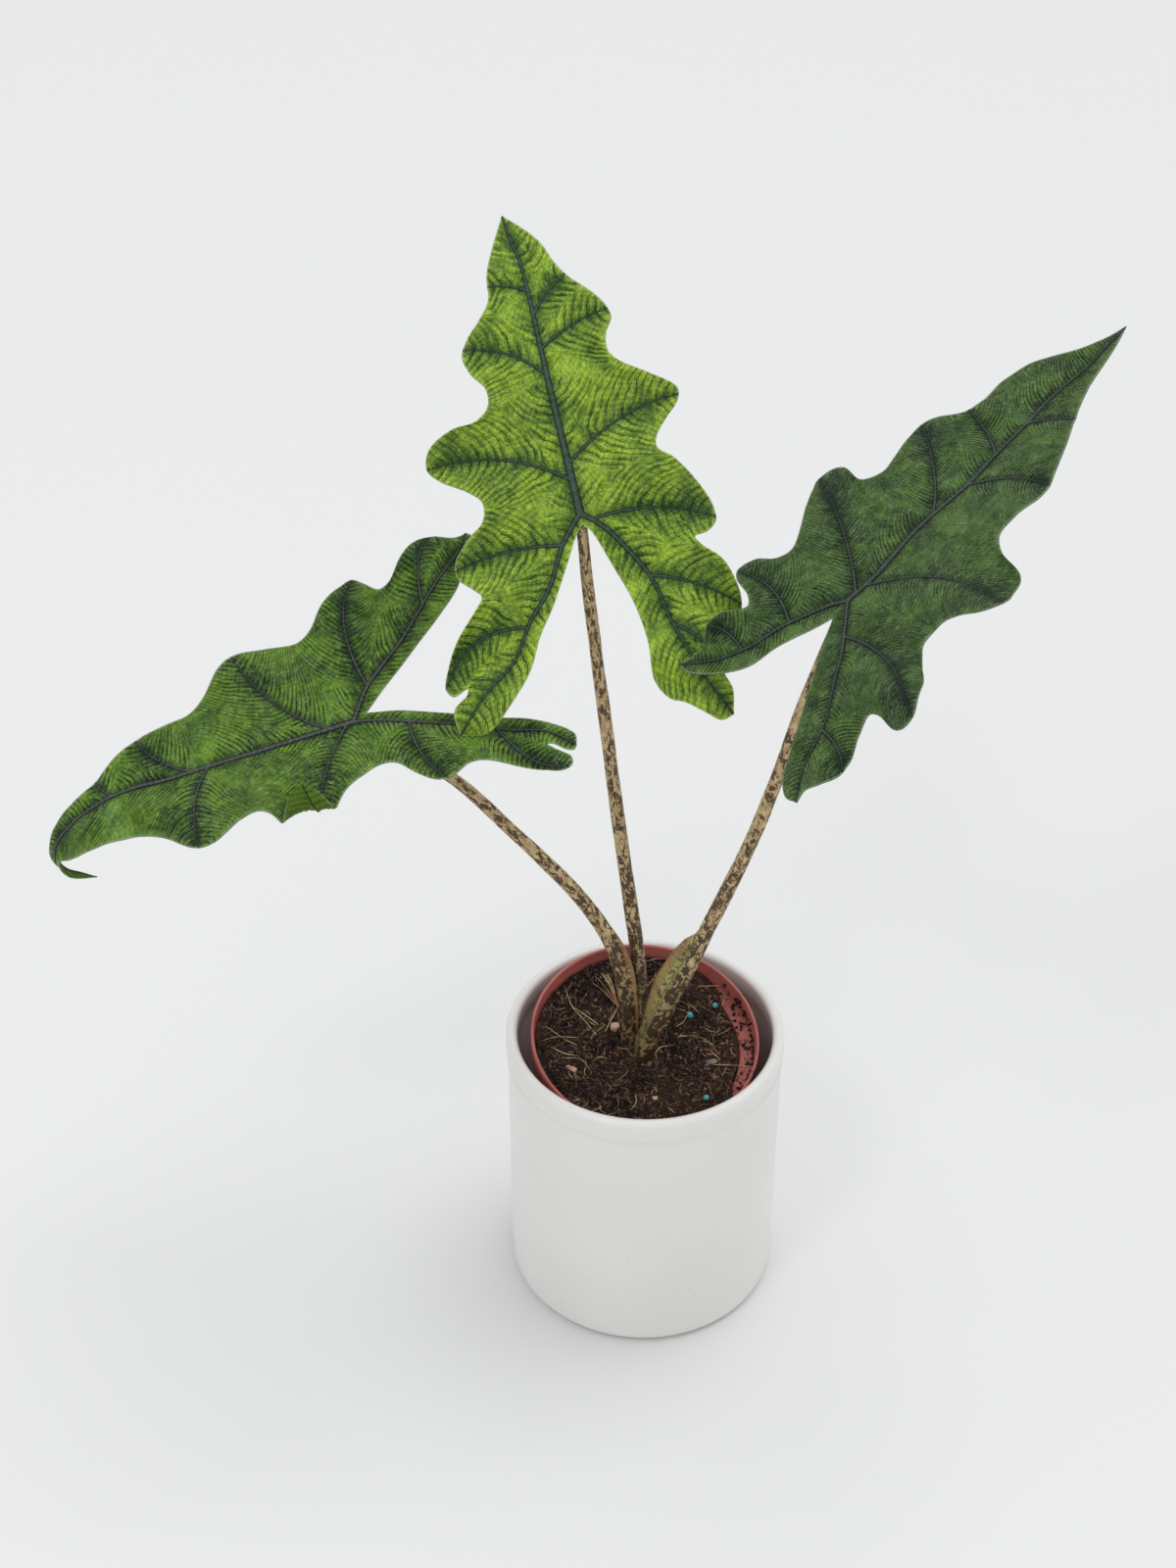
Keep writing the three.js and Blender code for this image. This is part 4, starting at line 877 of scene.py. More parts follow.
def petiole_skin():
    """Beige skin under short dark dashes that crowd and merge, greener and darker to the foot,
    yellow-green with fine hatching inside the sheath, whose lips end in a brown line."""
    material, tree, shader = new_material("petiole skin", Specular_IOR_Level=0.35)
    skin = read(tree, "skin", "Vector")
    low = read(tree, "low")
    inside = read(tree, "inside")
    dashes = add(tree, "Mapping", {"Vector": skin, "Scale": (0.55, 0.55, 0.24)}).outputs[0]
    coarse = noise(tree, dashes, 1.0, 4, 0.65, 0.6)
    bands = calc(tree, "SUBTRACT", noise(tree, skin, 0.11, 1), 0.5)
    fine = noise(tree, dashes, 3.1, 3, 0.6)
    speckle = calc(tree, "SUBTRACT", fine, 0.5)
    field = calc(tree, "ADD", coarse, calc(tree, "MULTIPLY", speckle, 0.4))
    field = calc(tree, "ADD", field, calc(tree, "MULTIPLY", bands, 0.25))
    field = calc(tree, "ADD", field, ramp(tree, low, 0.3, 1, -0.015, 0.055))
    mottle = ramp(tree, field, 0.47, 0.53)
    tint = ramp(tree, noise(tree, dashes, 0.8, 2), 0.3, 0.7)
    ground = blend(tree, tint, (0.58, 0.44, 0.22), (0.38, 0.27, 0.13))
    ground = blend(tree, ramp(tree, low, 0.66, 0.9, 0, 0.8), ground, (0.2, 0.15, 0.06))
    dark = blend(tree, ramp(tree, low, 0.55, 1), (0.075, 0.042, 0.018), (0.035, 0.018, 0.009))
    outside = blend(tree, mottle, ground, dark)
    hatch = add(tree, "Mapping", {"Vector": skin, "Scale": (1.3, 1.3, 0.35)}).outputs[0]
    marks = ramp(tree, noise(tree, hatch, 1.0, 3, 0.6), 0.49, 0.57)
    lining = blend(tree, ramp(tree, low, 0.76, 0.92), (0.4, 0.4, 0.13), (0.2, 0.15, 0.06))
    lining = blend(tree, calc(tree, "MULTIPLY", marks, 0.85), lining, (0.06, 0.05, 0.018))
    colour = blend(tree, inside, outside, lining)
    rim = ramp(tree, read(tree, "rim"), 0.45, 0.9, 0, 0.7)
    colour = blend(tree, rim, colour, (0.3, 0.17, 0.07))
    tree.links.new(colour, shader.inputs["Base Color"])
    tree.links.new(ramp(tree, fine, 0.3, 0.7, 0.42, 0.56), shader.inputs["Roughness"])
    height = calc(tree, "SUBTRACT", fine, calc(tree, "MULTIPLY", mottle, 0.4))
    bump(tree, shader, height, 0.0002, 0.6)
    return material


PETIOLE_SKIN = petiole_skin()
for side, petiole_shape in PETIOLES.items():
    petiole = make_piece(f"petiole_{side}_mottled", *petiole_mesh(**petiole_shape))
    fit(petiole, PETIOLE_SKIN, "petiole_skin", f"petiole_{side}")


# Leaves: leathery blades with waved lobes, swollen between their veins, their ribs raised
# underneath. Each is set out flat on [a, b], a running along the midrib from the petiole to the
# tip and b across it, left being positive, and is then laid in space.
BLADE_THICKNESS = 0.8
QUILT = 1.7
RIB_RIDGE = 1.5
CORD_HEIGHT = 0.55
VEIN_STEP = 0.4
NEAR_RIB = (0.35, 0.8, 1.4, 2.2)
OUTER_COLUMNS = 40
INNER_COLUMNS = 12
SLOPE_STEPS = 24
RISE_LENGTH = 8
FLAP_CURVE = 12
FIRST_PLACE = -140
LAST_PLACE = 200
BESIDE_VEIN = (-0.9, -0.4, 0, 0.4, 0.9)
ROW_ROOM = 0.3
FINE_VEIN_LEAN = 0.35
FINE_VEIN_CURL = 0.035
SEAM_WIDTH = 2.6
RIB_HALF_WIDTHS = {"midrib": (2, 0.5), "lobe": (1.25, 0.38), "side": (0.85, 0.26)}

LEAVES = {
    "left": {
        "origin": (-138, -12, 359.6),
        "size": 1,
        "tipward": (-0.951, -0.244, -0.188),
        "upward": (-0.17, -0.095, 0.98),
        "droop": [(-110, -10), (0, 0), (60, 2), (115, 10), (128, 25), (136, 44), (144, 57),
                  (169, 66), (174, 115), (178, 150), (192, 163)],
        "rise": {"left": [(60, 4), (110, -14), (140, -22)], "right": [(0, 30)]},
        "fall": {"left": 0.2, "right": 0.12},
        "wave": (2.5, 80, 50),
        "flap": {"centre": 30, "half": 17, "start": 44.5, "width": 14, "turn": 135},
        "rib": [(0, 0), (43, 1), (75, 0), (90, -1), (105, -4), (119, -5), (130, -5.5),
                (141, -9.3), (148, -12.1), (154.5, -15.2), (162, -17.7), (169, -18.5),
                (176, -17), (188, -14.5)],
        "left": {
            "lobe_rib": [(0, 0), (-9, 3), (-22, 9), (-35, 16), (-60, 29), (-83, 38), (-95, 54)],
            "edge": [(188, -14.5), (182, -12.5), (176, -11.5), (169.7, -12.5), (160, -3),
                     (148.6, 7.7), (135.4, 16.1), (126, 19.3), (117, 22.7), (109, 25.5),
                     (97, 33), (86, 43), (74, 47), (60, 46), (51, 44),
                     (46, 47), (41, 56), (35, 63), (28, 65), (21, 62), (15, 53), (10, 47),
                     (1, 41), (-7, 36), (-14, 36), (-22, 45), (-31, 54), (-39, 56), (-46, 52),
                     (-55, 51), (-68, 55), (-80, 62), (-86, 66.5), (-90, 66), (-91, 61.5),
                     (-88.5, 57), (-85, 52), (-81, 46.5), (-85, 48.5), (-90, 55.5),
                     (-93, 57), (-95, 54)],
            "inner": [(-95, 54), (-96, 47), (-90, 38), (-78, 28), (-59, 21), (-40, 11),
                      (-23, 2), (-14, -1), (-7, -3)],
            "veins": [((69, 0), (82, 44), 0.08), ((4, 0), (28, 65), 0.04),
                      ((-25, 11), (-35, 55), 0.08), ((-63, 30), (-88, 64), 0.08)],
        },
        "right": {
            "lobe_rib": [(0, 0), (-5, -9), (-11, -18), (-19, -26), (-37, -42), (-51, -58),
                         (-66, -82), (-74, -97)],
            "edge": [(188, -14.5), (182, -16.5), (177, -19.5), (171, -22.5), (165, -22.8),
                     (157.6, -21.9), (152, -20.4), (144.3, -18.5), (137, -16.2),
                     (129, -15.5), (122, -16.8), (111, -23), (99, -27), (84, -30), (72, -31),
                     (64, -36), (54, -47), (44, -53), (30, -54), (15, -49), (8, -52), (0, -63),
                     (-10, -75), (-17, -82), (-22, -77), (-28, -69), (-33, -69), (-41, -77),
                     (-53, -86), (-62, -93), (-69, -96), (-74, -97)],
            "inner": [(-74, -97), (-76, -92), (-70, -77), (-62, -58), (-50, -42), (-34, -28),
                      (-18, -14), (-7, -3)],
            "veins": [((117, -6), (123, -17), 0.06), ((77, 0), (100, -27), 0.08),
                      ((12, 0), (47, -52), 0.08), ((-11, -18), (-17, -82), 0.1),
                      ((-45, -51), (-54, -87), 0.06)],
        },
    },
    "middle": {
        "origin": (-33.3, 24.5, 451),
        "size": 1.022,
        "tipward": (-0.25, 0.56, 0.79),
        "upward": (0, -0.8, 0.6),
        "droop": [(-110, -17), (-60, -2.8), (0, 0), (60, 4), (140, 18)],
        "rise": {"left": [(0, 12)], "right": [(0, 12)]},
        "fall": {"left": 0.3, "right": 0.3},
        "wave": (2.5, 80, 45),
        "rib": [(0, 0), (60, 0), (118, 0), (130, 2), (142, 3)],
        "left": {
            "lobe_rib": [(0, 0), (-4, 4), (-12, 11), (-29, 21), (-42, 33), (-57, 44), (-69, 61),
                         (-83, 75)],
            "edge": [(142, 3), (134, 7), (124, 12), (114, 16), (102, 18), (94, 24), (87, 31),
                     (80, 35), (71, 33), (63, 28), (55, 29), (50, 36), (49, 47), (43, 59),
                     (35, 62), (28, 57), (20, 46), (14, 41), (6, 43), (1, 50), (-8, 59),
                     (-15, 60), (-22, 54), (-26, 51), (-31, 55), (-43, 67), (-52, 73),
                     (-62, 77), (-66, 74), (-64, 67), (-67, 68), (-72, 75), (-83, 75)],
            "inner": [(-83, 75), (-85, 66), (-84, 61), (-76, 51), (-63, 38), (-49, 30),
                      (-37, 21), (-21, 11), (-8, 3), (-5, 0)],
            "veins": [((102, 0), (109, 17), 0.08), ((63, 0), (83, 34), 0.1),
                      ((14, 0), (35, 62), 0.1), ((-12, 11), (-12, 60), 0.06),
                      ((-44, 35), (-62, 77), 0.18)],
        },
        "right": {
            "lobe_rib": [(0, 0), (-6, -7), (-14, -13), (-35, -24), (-54, -28), (-68, -32),
                         (-83, -37), (-103, -46)],
            "edge": [(142, 3), (134, -4), (124, -11), (113, -15), (104, -20), (96, -27),
                     (89, -32), (82, -34), (75, -30), (67, -29), (61, -33), (53, -44),
                     (44, -55), (39, -54), (32, -47), (25, -41), (20, -40), (14, -46),
                     (3, -53), (-9, -58), (-17, -58), (-21, -53), (-22, -47), (-26, -49),
                     (-35, -57), (-50, -61), (-58, -60), (-72, -52), (-82, -46), (-91, -48),
                     (-103, -46)],
            "inner": [(-103, -46), (-104, -40), (-98, -33), (-92, -26), (-89, -20), (-80, -15),
                      (-62, -16), (-44, -14), (-27, -9), (-9, -3), (-5, 0)],
            "veins": [((90, 0), (106, -18), 0.06), ((74, 0), (86, -34), 0.06),
                      ((21, 0), (41, -55), 0.08), ((-4, -4), (-15, -58), 0.08),
                      ((-34, -24), (-56, -60), 0.06), ((-57, -29), (-80, -46), 0.08)],
        },
    },
    "right": {
        "origin": (85.5, -25, 437.5),
        "size": 1.01,
        "tipward": (0.669, 0.553, 0.497),
        "upward": (-0.537, -0.102, 0.837),
        "droop": [(-110, -35), (-40, -12), (0, 0), (60, 2), (180, 14)],
        "rise": {"left": [(0, 23)], "right": [(0, 8)]},
        "fall": {"left": 0.15, "right": 0.2},
        "wave": (2.5, 88, 46),
        "rib": [(0, 0), (18, -2), (44, 0), (76, -3), (91, -1), (118, 2), (133, 5), (159, 7),
                (171, 10), (189, 14)],
        "left": {
            "lobe_rib": [(0, 0), (-5, 6), (-12, 11), (-25, 19), (-38, 26), (-50, 39),
                         (-60, 56)],
            "edge": [(189, 14), (177, 15), (164, 18), (152, 24), (143, 29), (129, 31),
                     (115, 28), (104, 31), (96, 40), (90, 44), (81, 42), (68, 37), (60, 36),
                     (52, 43), (53, 55), (49, 62), (43, 66), (37, 62), (28, 54), (17, 46),
                     (7, 43), (0, 48), (-5, 58), (-12, 60), (-17, 55), (-21, 43), (-25, 39),
                     (-34, 50), (-41, 54), (-49, 51), (-60, 56)],
            "inner": [(-60, 56), (-61, 48), (-55, 33), (-46, 21), (-33, 14), (-18, 4),
                      (-10, -1)],
            "veins": [((94, 0), (107, 30), 0.06), ((55, 0), (90, 44), 0.06),
                      ((4, 0), (44, 66), 0.05), ((-22, 17), (-14, 59), 0.12),
                      ((-42, 30), (-40, 54), 0.1)],
        },
        "right": {
            "lobe_rib": [(0, 0), (-7, -7), (-16, -16), (-27, -26), (-45, -35), (-65, -42),
                         (-88, -45)],
            "edge": [(189, 14), (176, 7), (159, -1), (147, -7), (127, -20), (108, -35),
                     (93, -42), (77, -48), (64, -49), (55, -48), (49, -54), (44, -69),
                     (35, -75), (28, -81), (21, -83), (17, -79), (12, -67), (7, -60),
                     (-3, -57), (-9, -62), (-15, -70), (-22, -81), (-31, -86), (-38, -82),
                     (-42, -75), (-40, -65), (-42, -59), (-52, -59), (-63, -66), (-70, -67),
                     (-76, -59), (-82, -49), (-88, -45)],
            "inner": [(-88, -45), (-88, -38), (-84, -34), (-72, -31), (-56, -24), (-39, -17),
                      (-24, -9), (-10, -1)],
            "veins": [((116, 2), (126, -21), 0.05), ((75, -3), (88, -45), 0.08),
                      ((10, 0), (25, -82), 0.1), ((-16, -16), (-35, -85), 0.1),
                      ((-56, -39), (-67, -67), 0.06)],
        },
    },
}


def leaf_frame(leaf):
    """The blade's origin and its unit vectors to the tip, up and left."""
    u = np.array(leaf["tipward"], float)
    u /= np.linalg.norm(u)
    n = np.array(leaf["upward"], float)
    n -= u * (n @ u)
    n /= np.linalg.norm(n)
    return np.array(leaf["origin"], float), u, n, np.cross(n, u)


def lay_blade(leaf, a, b):
    """Places of a blade's flat points. The midrib's slope follows its table of droop. A half
    leaves the midrib at an angle that rises to its rise within a few mm, then falls by fall
    degrees a mm; sideways and up are the sums of its cosine and sine. A slow wave lifts and
    lowers the margin, and a flap folds up past its line."""
    origin, u, n, side = leaf_frame(leaf)
    places = np.arange(FIRST_PLACE, LAST_PLACE + 1)
    slope = np.radians(table(leaf["droop"], places[:-1] + 0.5))
    forward = np.concatenate([[0], np.cumsum(np.cos(slope))])
    fallen = np.concatenate([[0], np.cumsum(-np.sin(slope))])
    x = np.interp(a, places, forward - forward[-FIRST_PLACE])
    z = np.interp(a, places, fallen - fallen[-FIRST_PLACE])
    droop = np.radians(table(leaf["droop"], a))
    m = np.abs(b)
    left = b >= 0
    rise = np.where(left, table(leaf["rise"]["left"], a), table(leaf["rise"]["right"], a))
    fall = np.where(left, leaf["fall"]["left"], leaf["fall"]["right"])
    out = np.zeros_like(m)
    up = np.zeros_like(m)
    for i in range(SLOPE_STEPS):
        here = m * (i + 0.5) / SLOPE_STEPS
        angle = rise * (1 - np.exp(-here / RISE_LENGTH)) - fall * here
        if "flap" in leaf:
            flap = leaf["flap"]
            fold = flap["start"] + FLAP_CURVE * ((a - flap["centre"]) / flap["half"]) ** 2
            angle = angle + left * flap["turn"] * smooth01((here - fold) / flap["width"])
        out += np.cos(np.radians(angle)) * m / SLOPE_STEPS
        up += np.sin(np.radians(angle)) * m / SLOPE_STEPS
    height, crest, pitch = leaf["wave"]
    up -= height * (m / 50) ** 2 * np.cos(2 * np.pi * (a - crest) / pitch)
    out = np.where(left, out, -out)
    forward, raised = x + up * np.sin(droop), z + up * np.cos(droop)
    return origin + leaf["size"] * (forward[..., None] * u + raised[..., None] * n
                                    + out[..., None] * side)


class Ribs:
    """A midrib read backwards from the tip, then a back lobe's rib, as one line."""

    def __init__(self, midrib, lobe_rib):
        self.midrib, self.lobe_rib = midrib, lobe_rib
        self.length = midrib.length + lobe_rib.length

    def at(self, s):
        ahead = self.midrib.at(self.midrib.length - s)
        behind = self.lobe_rib.at(s - self.midrib.length)
        return np.where((s <= self.midrib.length)[..., None], ahead, behind)


def vein_ties(half, midrib, lobe_rib, edge):
    """Rows (s, e, bow) that tie a length along the ribs to one along the edge, in order: the
    tip, each vein, the lobe's end."""
    ties = [(0, 0, 0), (midrib.length + lobe_rib.length, edge.length, 0)]
    for start, stop, bow in half["veins"]:
        if start[0] < 0:
            s = midrib.length + lobe_rib.nearest(start)
        else:
            s = midrib.length - midrib.nearest(start)
        ties.append((s, edge.nearest(stop), bow))
    return np.array(sorted(ties))


def stations(first, last, kept, step=0.8):
    """Places from first to last about a step apart, through the kept ones and close beside
    them."""
    beside = [s + d for s in kept for d in BESIDE_VEIN]
    firm = np.unique([first, last, *[s for s in beside if first < s < last]])
    even = np.linspace(first, last, int((last - first) / step) + 1)
    free = [s for s in even if np.min(np.abs(firm - s)) > ROW_ROOM]
    return np.sort(np.concatenate([firm, free]))


def half_strip(s, ties, ribs, edge, columns):
    """Flat points of a strip between ribs and edge: straight rows that the bow arches, their
    first columns set close to the rib. Returns a, b, the swelling, which is sin(pi f) times
    4 t (1 - t) for the share f between two veins and t from rib to edge, and the mm left to
    the edge."""
    i = np.clip(np.searchsorted(ties[:, 0], s, side="right") - 1, 0, len(ties) - 2)
    f = (s - ties[i, 0]) / (ties[i + 1, 0] - ties[i, 0])
    e = ties[i, 1] + f * (ties[i + 1, 1] - ties[i, 1])
    bow = ties[i, 2] + f * (ties[i + 1, 2] - ties[i, 2])
    start, stop = ribs.at(s), edge.at(e)
    span = np.linalg.norm(stop - start, axis=1)[:, None]
    first = np.minimum(np.array(NEAR_RIB)[None] / np.maximum(span, 1e-6),
                       0.03 * np.arange(1, len(NEAR_RIB) + 1)[None])
    rest = first[:, -1:] + (1 - first[:, -1:]) * np.arange(1, columns + 1)[None] / columns
    t = np.hstack([np.zeros_like(span), first, rest])
    da, db = (stop - start).T
    arch = (bow * np.where(db > 0, 1, -1))[:, None] * 4 * t * (1 - t)
    a = start[:, :1] + t * da[:, None] + arch * db[:, None]
    b = start[:, 1:] + t * db[:, None] - arch * da[:, None]
    swell = np.sin(np.pi * f)[:, None] * 4 * t * (1 - t) * np.minimum(1, span / 40)
    return a, b, swell, (1 - t) * span


def grid_triangles(rows, columns, flip):
    """Two triangles for each cell of a grid of points."""
    j, i = np.meshgrid(np.arange(rows - 1), np.arange(columns - 1), indexing="ij")
    p = (j * columns + i).ravel()
    q, r, t = p + 1, p + columns + 1, p + columns
    faces = np.vstack([np.stack([p, q, r], 1), np.stack([p, r, t], 1)])
    return faces[:, ::-1] if flip else faces


def welded(a, b, faces, *values):
    """Makes flat points that lie together one point, and drops the faces that this closes up."""
    key = np.round(np.stack([a, b], 1), 3)
    _, first, new = np.unique(key, axis=0, return_index=True, return_inverse=True)
    faces = new.ravel()[faces]
    whole = ((faces[:, 0] != faces[:, 1]) & (faces[:, 1] != faces[:, 2])
             & (faces[:, 2] != faces[:, 0]))
    return (a[first], b[first], faces[whole], *[v[first] for v in values])


def vein_lines(midrib, lobes, parts):
    """The flat lines of all main veins from their roots outwards, each with its half width at
    root and end, and 1 for a side vein."""
    def fine(line):
        return line.at(np.arange(0, line.length, VEIN_STEP))

    lines = [(fine(midrib), *RIB_HALF_WIDTHS["midrib"], 0)]
    for side in ("left", "right"):
        lines.append((fine(lobes[side]), *RIB_HALF_WIDTHS["lobe"], 0))
        ties, ribs, edge = parts[side]
        for s, e, bow in ties[1:-1]:
            start, stop = ribs.at(np.array(s)), edge.at(e)
            t = np.linspace(0, 1, 150)[:, None]
            across = (stop - start)[None, ::-1] * np.array([[1, -1]])
            arch = bow * 4 * t * (1 - t) * np.sign(stop[1] - start[1])
            lines.append((start + t * (stop - start) + arch * across,
                          *RIB_HALF_WIDTHS["side"], 1))
    return lines


def nearest_on(flat, places, chunk=4000):
    """The number of the nearest point of a line to each flat point, and how far off it is,
    worked out for some thousands of points at a time to spare memory."""
    which = np.empty(len(flat), int)
    gap = np.empty(len(flat))
    for k in range(0, len(flat), chunk):
        apart = np.linalg.norm(flat[k:k + chunk, None] - places[None], axis=2)
        which[k:k + chunk] = apart.argmin(1)
        gap[k:k + chunk] = apart.min(1)
    return which, gap


def vein_fields(a, b, lines, pitch):
    """For flat points, about the main vein whose flank is nearest: mm outside the flank, the
    distance from its middle in half widths, the count of the fine veins that leave it forwards,
    how far the point is from the seam between two veins' areas, and the dusk that lies round
    the outer half of a side vein."""
    flat = np.stack([a, b], 1)
    rows = []
    for places, root, end, is_side in lines:
        steps = np.linalg.norm(np.diff(places, axis=0), axis=1)
        run = np.concatenate([[0], np.cumsum(steps)])
        which, gap = nearest_on(flat, places)
        share = run[which] / run[-1]
        half = root + (end - root) * share
        rows.append([gap - half, gap / half, run[which], share * is_side])
    rows = np.array(rows)
    nearest = rows[:, 0].argmin(0)
    far, core, length, outer = rows[nearest, :, np.arange(len(flat))].T
    order = np.sort(rows[:, 0], axis=0)
    ripple = (0.5 * value_noise(a, b, 9, 17) + 0.25 * value_noise(a, b, 4, 18)
              + 0.1 * value_noise(a, b, 1.9, 16))
    leaning = (length - FINE_VEIN_LEAN * far - FINE_VEIN_CURL * far ** 2) / pitch
    net = leaning + ripple * pitch / 6 + nearest * 0.37
    clear = smooth01((order[1] - order[0]) / SEAM_WIDTH)
    dusk = smooth01((outer - 0.4) / 0.35) * np.exp(-((far / 9) ** 2))
    return far, np.minimum(core, 3), net, clear, dusk


def blade_net(leaf):
    """The flat blade: on each half a strip from the ribs out to the edge and one from the lobe's
    rib in to the sinus, welded along the ribs. Returns its points, faces, swelling, mm left to
    the edge, and the lines of its main veins."""
    midrib = Line(leaf["rib"])
    lobes = {side: Line(leaf[side]["lobe_rib"]) for side in ("left", "right")}
    parts = {}
    for side, lobe in lobes.items():
        edge = Line(leaf[side]["edge"])
        parts[side] = (vein_ties(leaf[side], midrib, lobe, edge), Ribs(midrib, lobe), edge)
    kept = [s for ties, _, _ in parts.values() for s in ties[1:-1, 0]]
    mid_rows = stations(0, midrib.length, kept)
    flats, faces, count = [], [], 0
    for side, (ties, ribs, edge) in parts.items():
        inner = Line(leaf[side]["inner"])
        lobe_rows = stations(midrib.length, ribs.length, ties[1:-1, 0])
        rows = np.concatenate([mid_rows, lobe_rows[1:]])
        back = np.array([(midrib.length, inner.length, 0), (ribs.length, 0, 0)])
        outward = half_strip(rows, ties, ribs, edge, OUTER_COLUMNS)
        inward = half_strip(lobe_rows, back, ribs, inner, INNER_COLUMNS)
        for strip, share, flip in ((outward, 1, side == "right"), (inward, 0.25, side == "left")):
            flat_a, flat_b, swell, inset = strip
            flats.append(np.stack([flat_a, flat_b, swell * share, inset], -1).reshape(-1, 4))
            faces.append(grid_triangles(*flat_a.shape, flip) + count)
            count += flat_a.size
    a, b, swell, inset = np.vstack(flats).T
    a, b, faces, swell, inset = welded(a, b, np.vstack(faces), swell, inset)
    return a, b, faces, swell, inset, vein_lines(midrib, lobes, parts)


def edge_wall(faces, count):
    """Triangles between a sheet's upper points and its under ones, which are numbered count
    higher: two for each edge that only one face has."""
    p, q = np.vstack([faces[:, [0, 1]], faces[:, [1, 2]], faces[:, [2, 0]]]).T
    alone = ~np.isin(p * count + q, q * count + p)
    p, q = p[alone], q[alone]
    return np.vstack([np.stack([q, p, p + count], 1), np.stack([q, p + count, q + count], 1)])


def blade_mesh(leaf, pitch, relief):
    """The whole blade: its flat net laid in space, swollen between the veins and pleated by the
    fine ones, given its thickness along the normals, with a cord on top of each main vein and
    a ridge under it, and closed round the edge."""
    a, b, faces, swell, inset, lines = blade_net(leaf)
    far, core, net, clear, dusk = vein_fields(a, b, lines, pitch)
    places = lay_blade(leaf, a, b)
    normals = point_normals(places, faces)
    margin = smooth01(inset / 5)
    pleats = (0.5 + 0.5 * np.cos(2 * np.pi * net)) * clear * smooth01(far / 2)
    pillow = 0.5 * smooth01(far / 6) + QUILT * swell + relief * (pleats - 0.5) * margin
    pillow = pillow + 0.5 * value_noise(a, b, 11, 19) * margin * smooth01(far / 4)
    cord = CORD_HEIGHT * np.sqrt(np.clip(1 - core ** 2, 0, 1)) - 0.2 * np.exp(-(far / 0.7) ** 2)
    reach = smooth01(np.hypot(a, b) / 6 - 1)
    ridge = RIB_RIDGE * np.exp(-np.clip(far + 0.9, 0, None) ** 2 / 1.1) * reach * margin
    thick = BLADE_THICKNESS * (0.75 + 0.25 * smooth01(inset / 2))
    top = places + normals * (pillow + cord * margin)[:, None]
    under = places + normals * (pillow - thick - 0.8 * ridge)[:, None]
    count = len(a)
    everything = np.vstack([faces, faces[:, ::-1] + count, edge_wall(faces, count)])
    fields = {"far": far, "core": core, "net": net, "clear": clear, "dusk": dusk,
              "inset": inset, "swell": swell}
    values = {name: np.tile(field, 2) for name, field in fields.items()}
    values["upper"] = np.repeat([1.0, 0.0], count)
    values["flat"] = np.tile(np.stack([a, b, 0 * a], 1), (2, 1))
    return np.vstack([top, under]), everything.tolist(), values


def point_normals(places, faces):
    """Unit normals at points: the sum of the cross products of the faces round each."""
    corners = places[faces]
    across = np.cross(corners[:, 1] - corners[:, 0], corners[:, 2] - corners[:, 0])
    normals = np.zeros_like(places)
    for k in range(3):
        np.add.at(normals, faces[:, k], across)
    return normals / np.maximum(np.linalg.norm(normals, axis=1), 1e-9)[:, None]


def lines_at(tree, phase, width, soft):
    """1 where the phase's fraction is a half, falling to 0 past the width."""
    fraction = calc(tree, "FRACT", phase)
    off = calc(tree, "ABSOLUTE", calc(tree, "SUBTRACT", fraction, 0.5))
    return ramp(tree, calc(tree, "SUBTRACT", off, width), 0, soft, 1, 0)


def product(tree, *values):
    """The output of the product of two or more values."""
    result = values[0]
    for value in values[1:]:
        result = calc(tree, "MULTIPLY", result, value)
    return result


def fine_veins(group, flat):
    """Three orders of fine veins as masks: those that leave a main vein, thick at it and thin
    far from it, those between them, and the rungs across. Then the painted glints on the lit
    crests beside the first, and streaks that run along them, about 0.5 on average."""
    far, net, clear = read(group, "far"), read(group, "net"), read(group, "clear")
    wiggle = product(group, calc(group, "SUBTRACT", noise(group, flat, 0.55, 3), 0.5), 0.32)
    phase = calc(group, "ADD", net, wiggle)
    width = calc(group, "ADD", ramp(group, far, 0.5, 16, 0.05, 0.01),
                 product(group, calc(group, "SUBTRACT", noise(group, flat, 0.3, 2), 0.5), 0.1))
    strong = ramp(group, noise(group, flat, 0.11, 2), 0.35, 0.6, 0.35, 1)
    first = product(group, lines_at(group, phase, width, 0.09), clear, strong)
    thin = ramp(group, noise(group, flat, 0.22, 2), 0.35, 0.65)
    second = product(group, lines_at(group, calc(group, "MULTIPLY", phase, 2), 0.06, 0.13),
                     thin, clear)
    rung_phase = calc(group, "ADD", calc(group, "DIVIDE", far, 1.7), product(
        group, calc(group, "FLOOR", product(group, phase, 2)), 0.43))
    rung_phase = calc(group, "ADD", rung_phase, noise(group, flat, 0.8, 2))
    rung = lines_at(group, rung_phase, 0.03, 0.1)
    # crest: painted glints, thin pale lines on the lit side of the pleats beside the fine veins.
    crest = product(group, lines_at(group, calc(group, "ADD", phase, 0.2), 0.02, 0.1),
                    ramp(group, noise(group, flat, 0.35, 3), 0.5, 0.62),
                    ramp(group, far, 0.5, 2.5), clear)
    along = add(group, "CombineXYZ", {0: product(group, phase, 2.1),
                                      1: product(group, far, 0.17)}).outputs[0]
    return first, second, rung, crest, noise(group, along, 1.0, 4, 0.62)


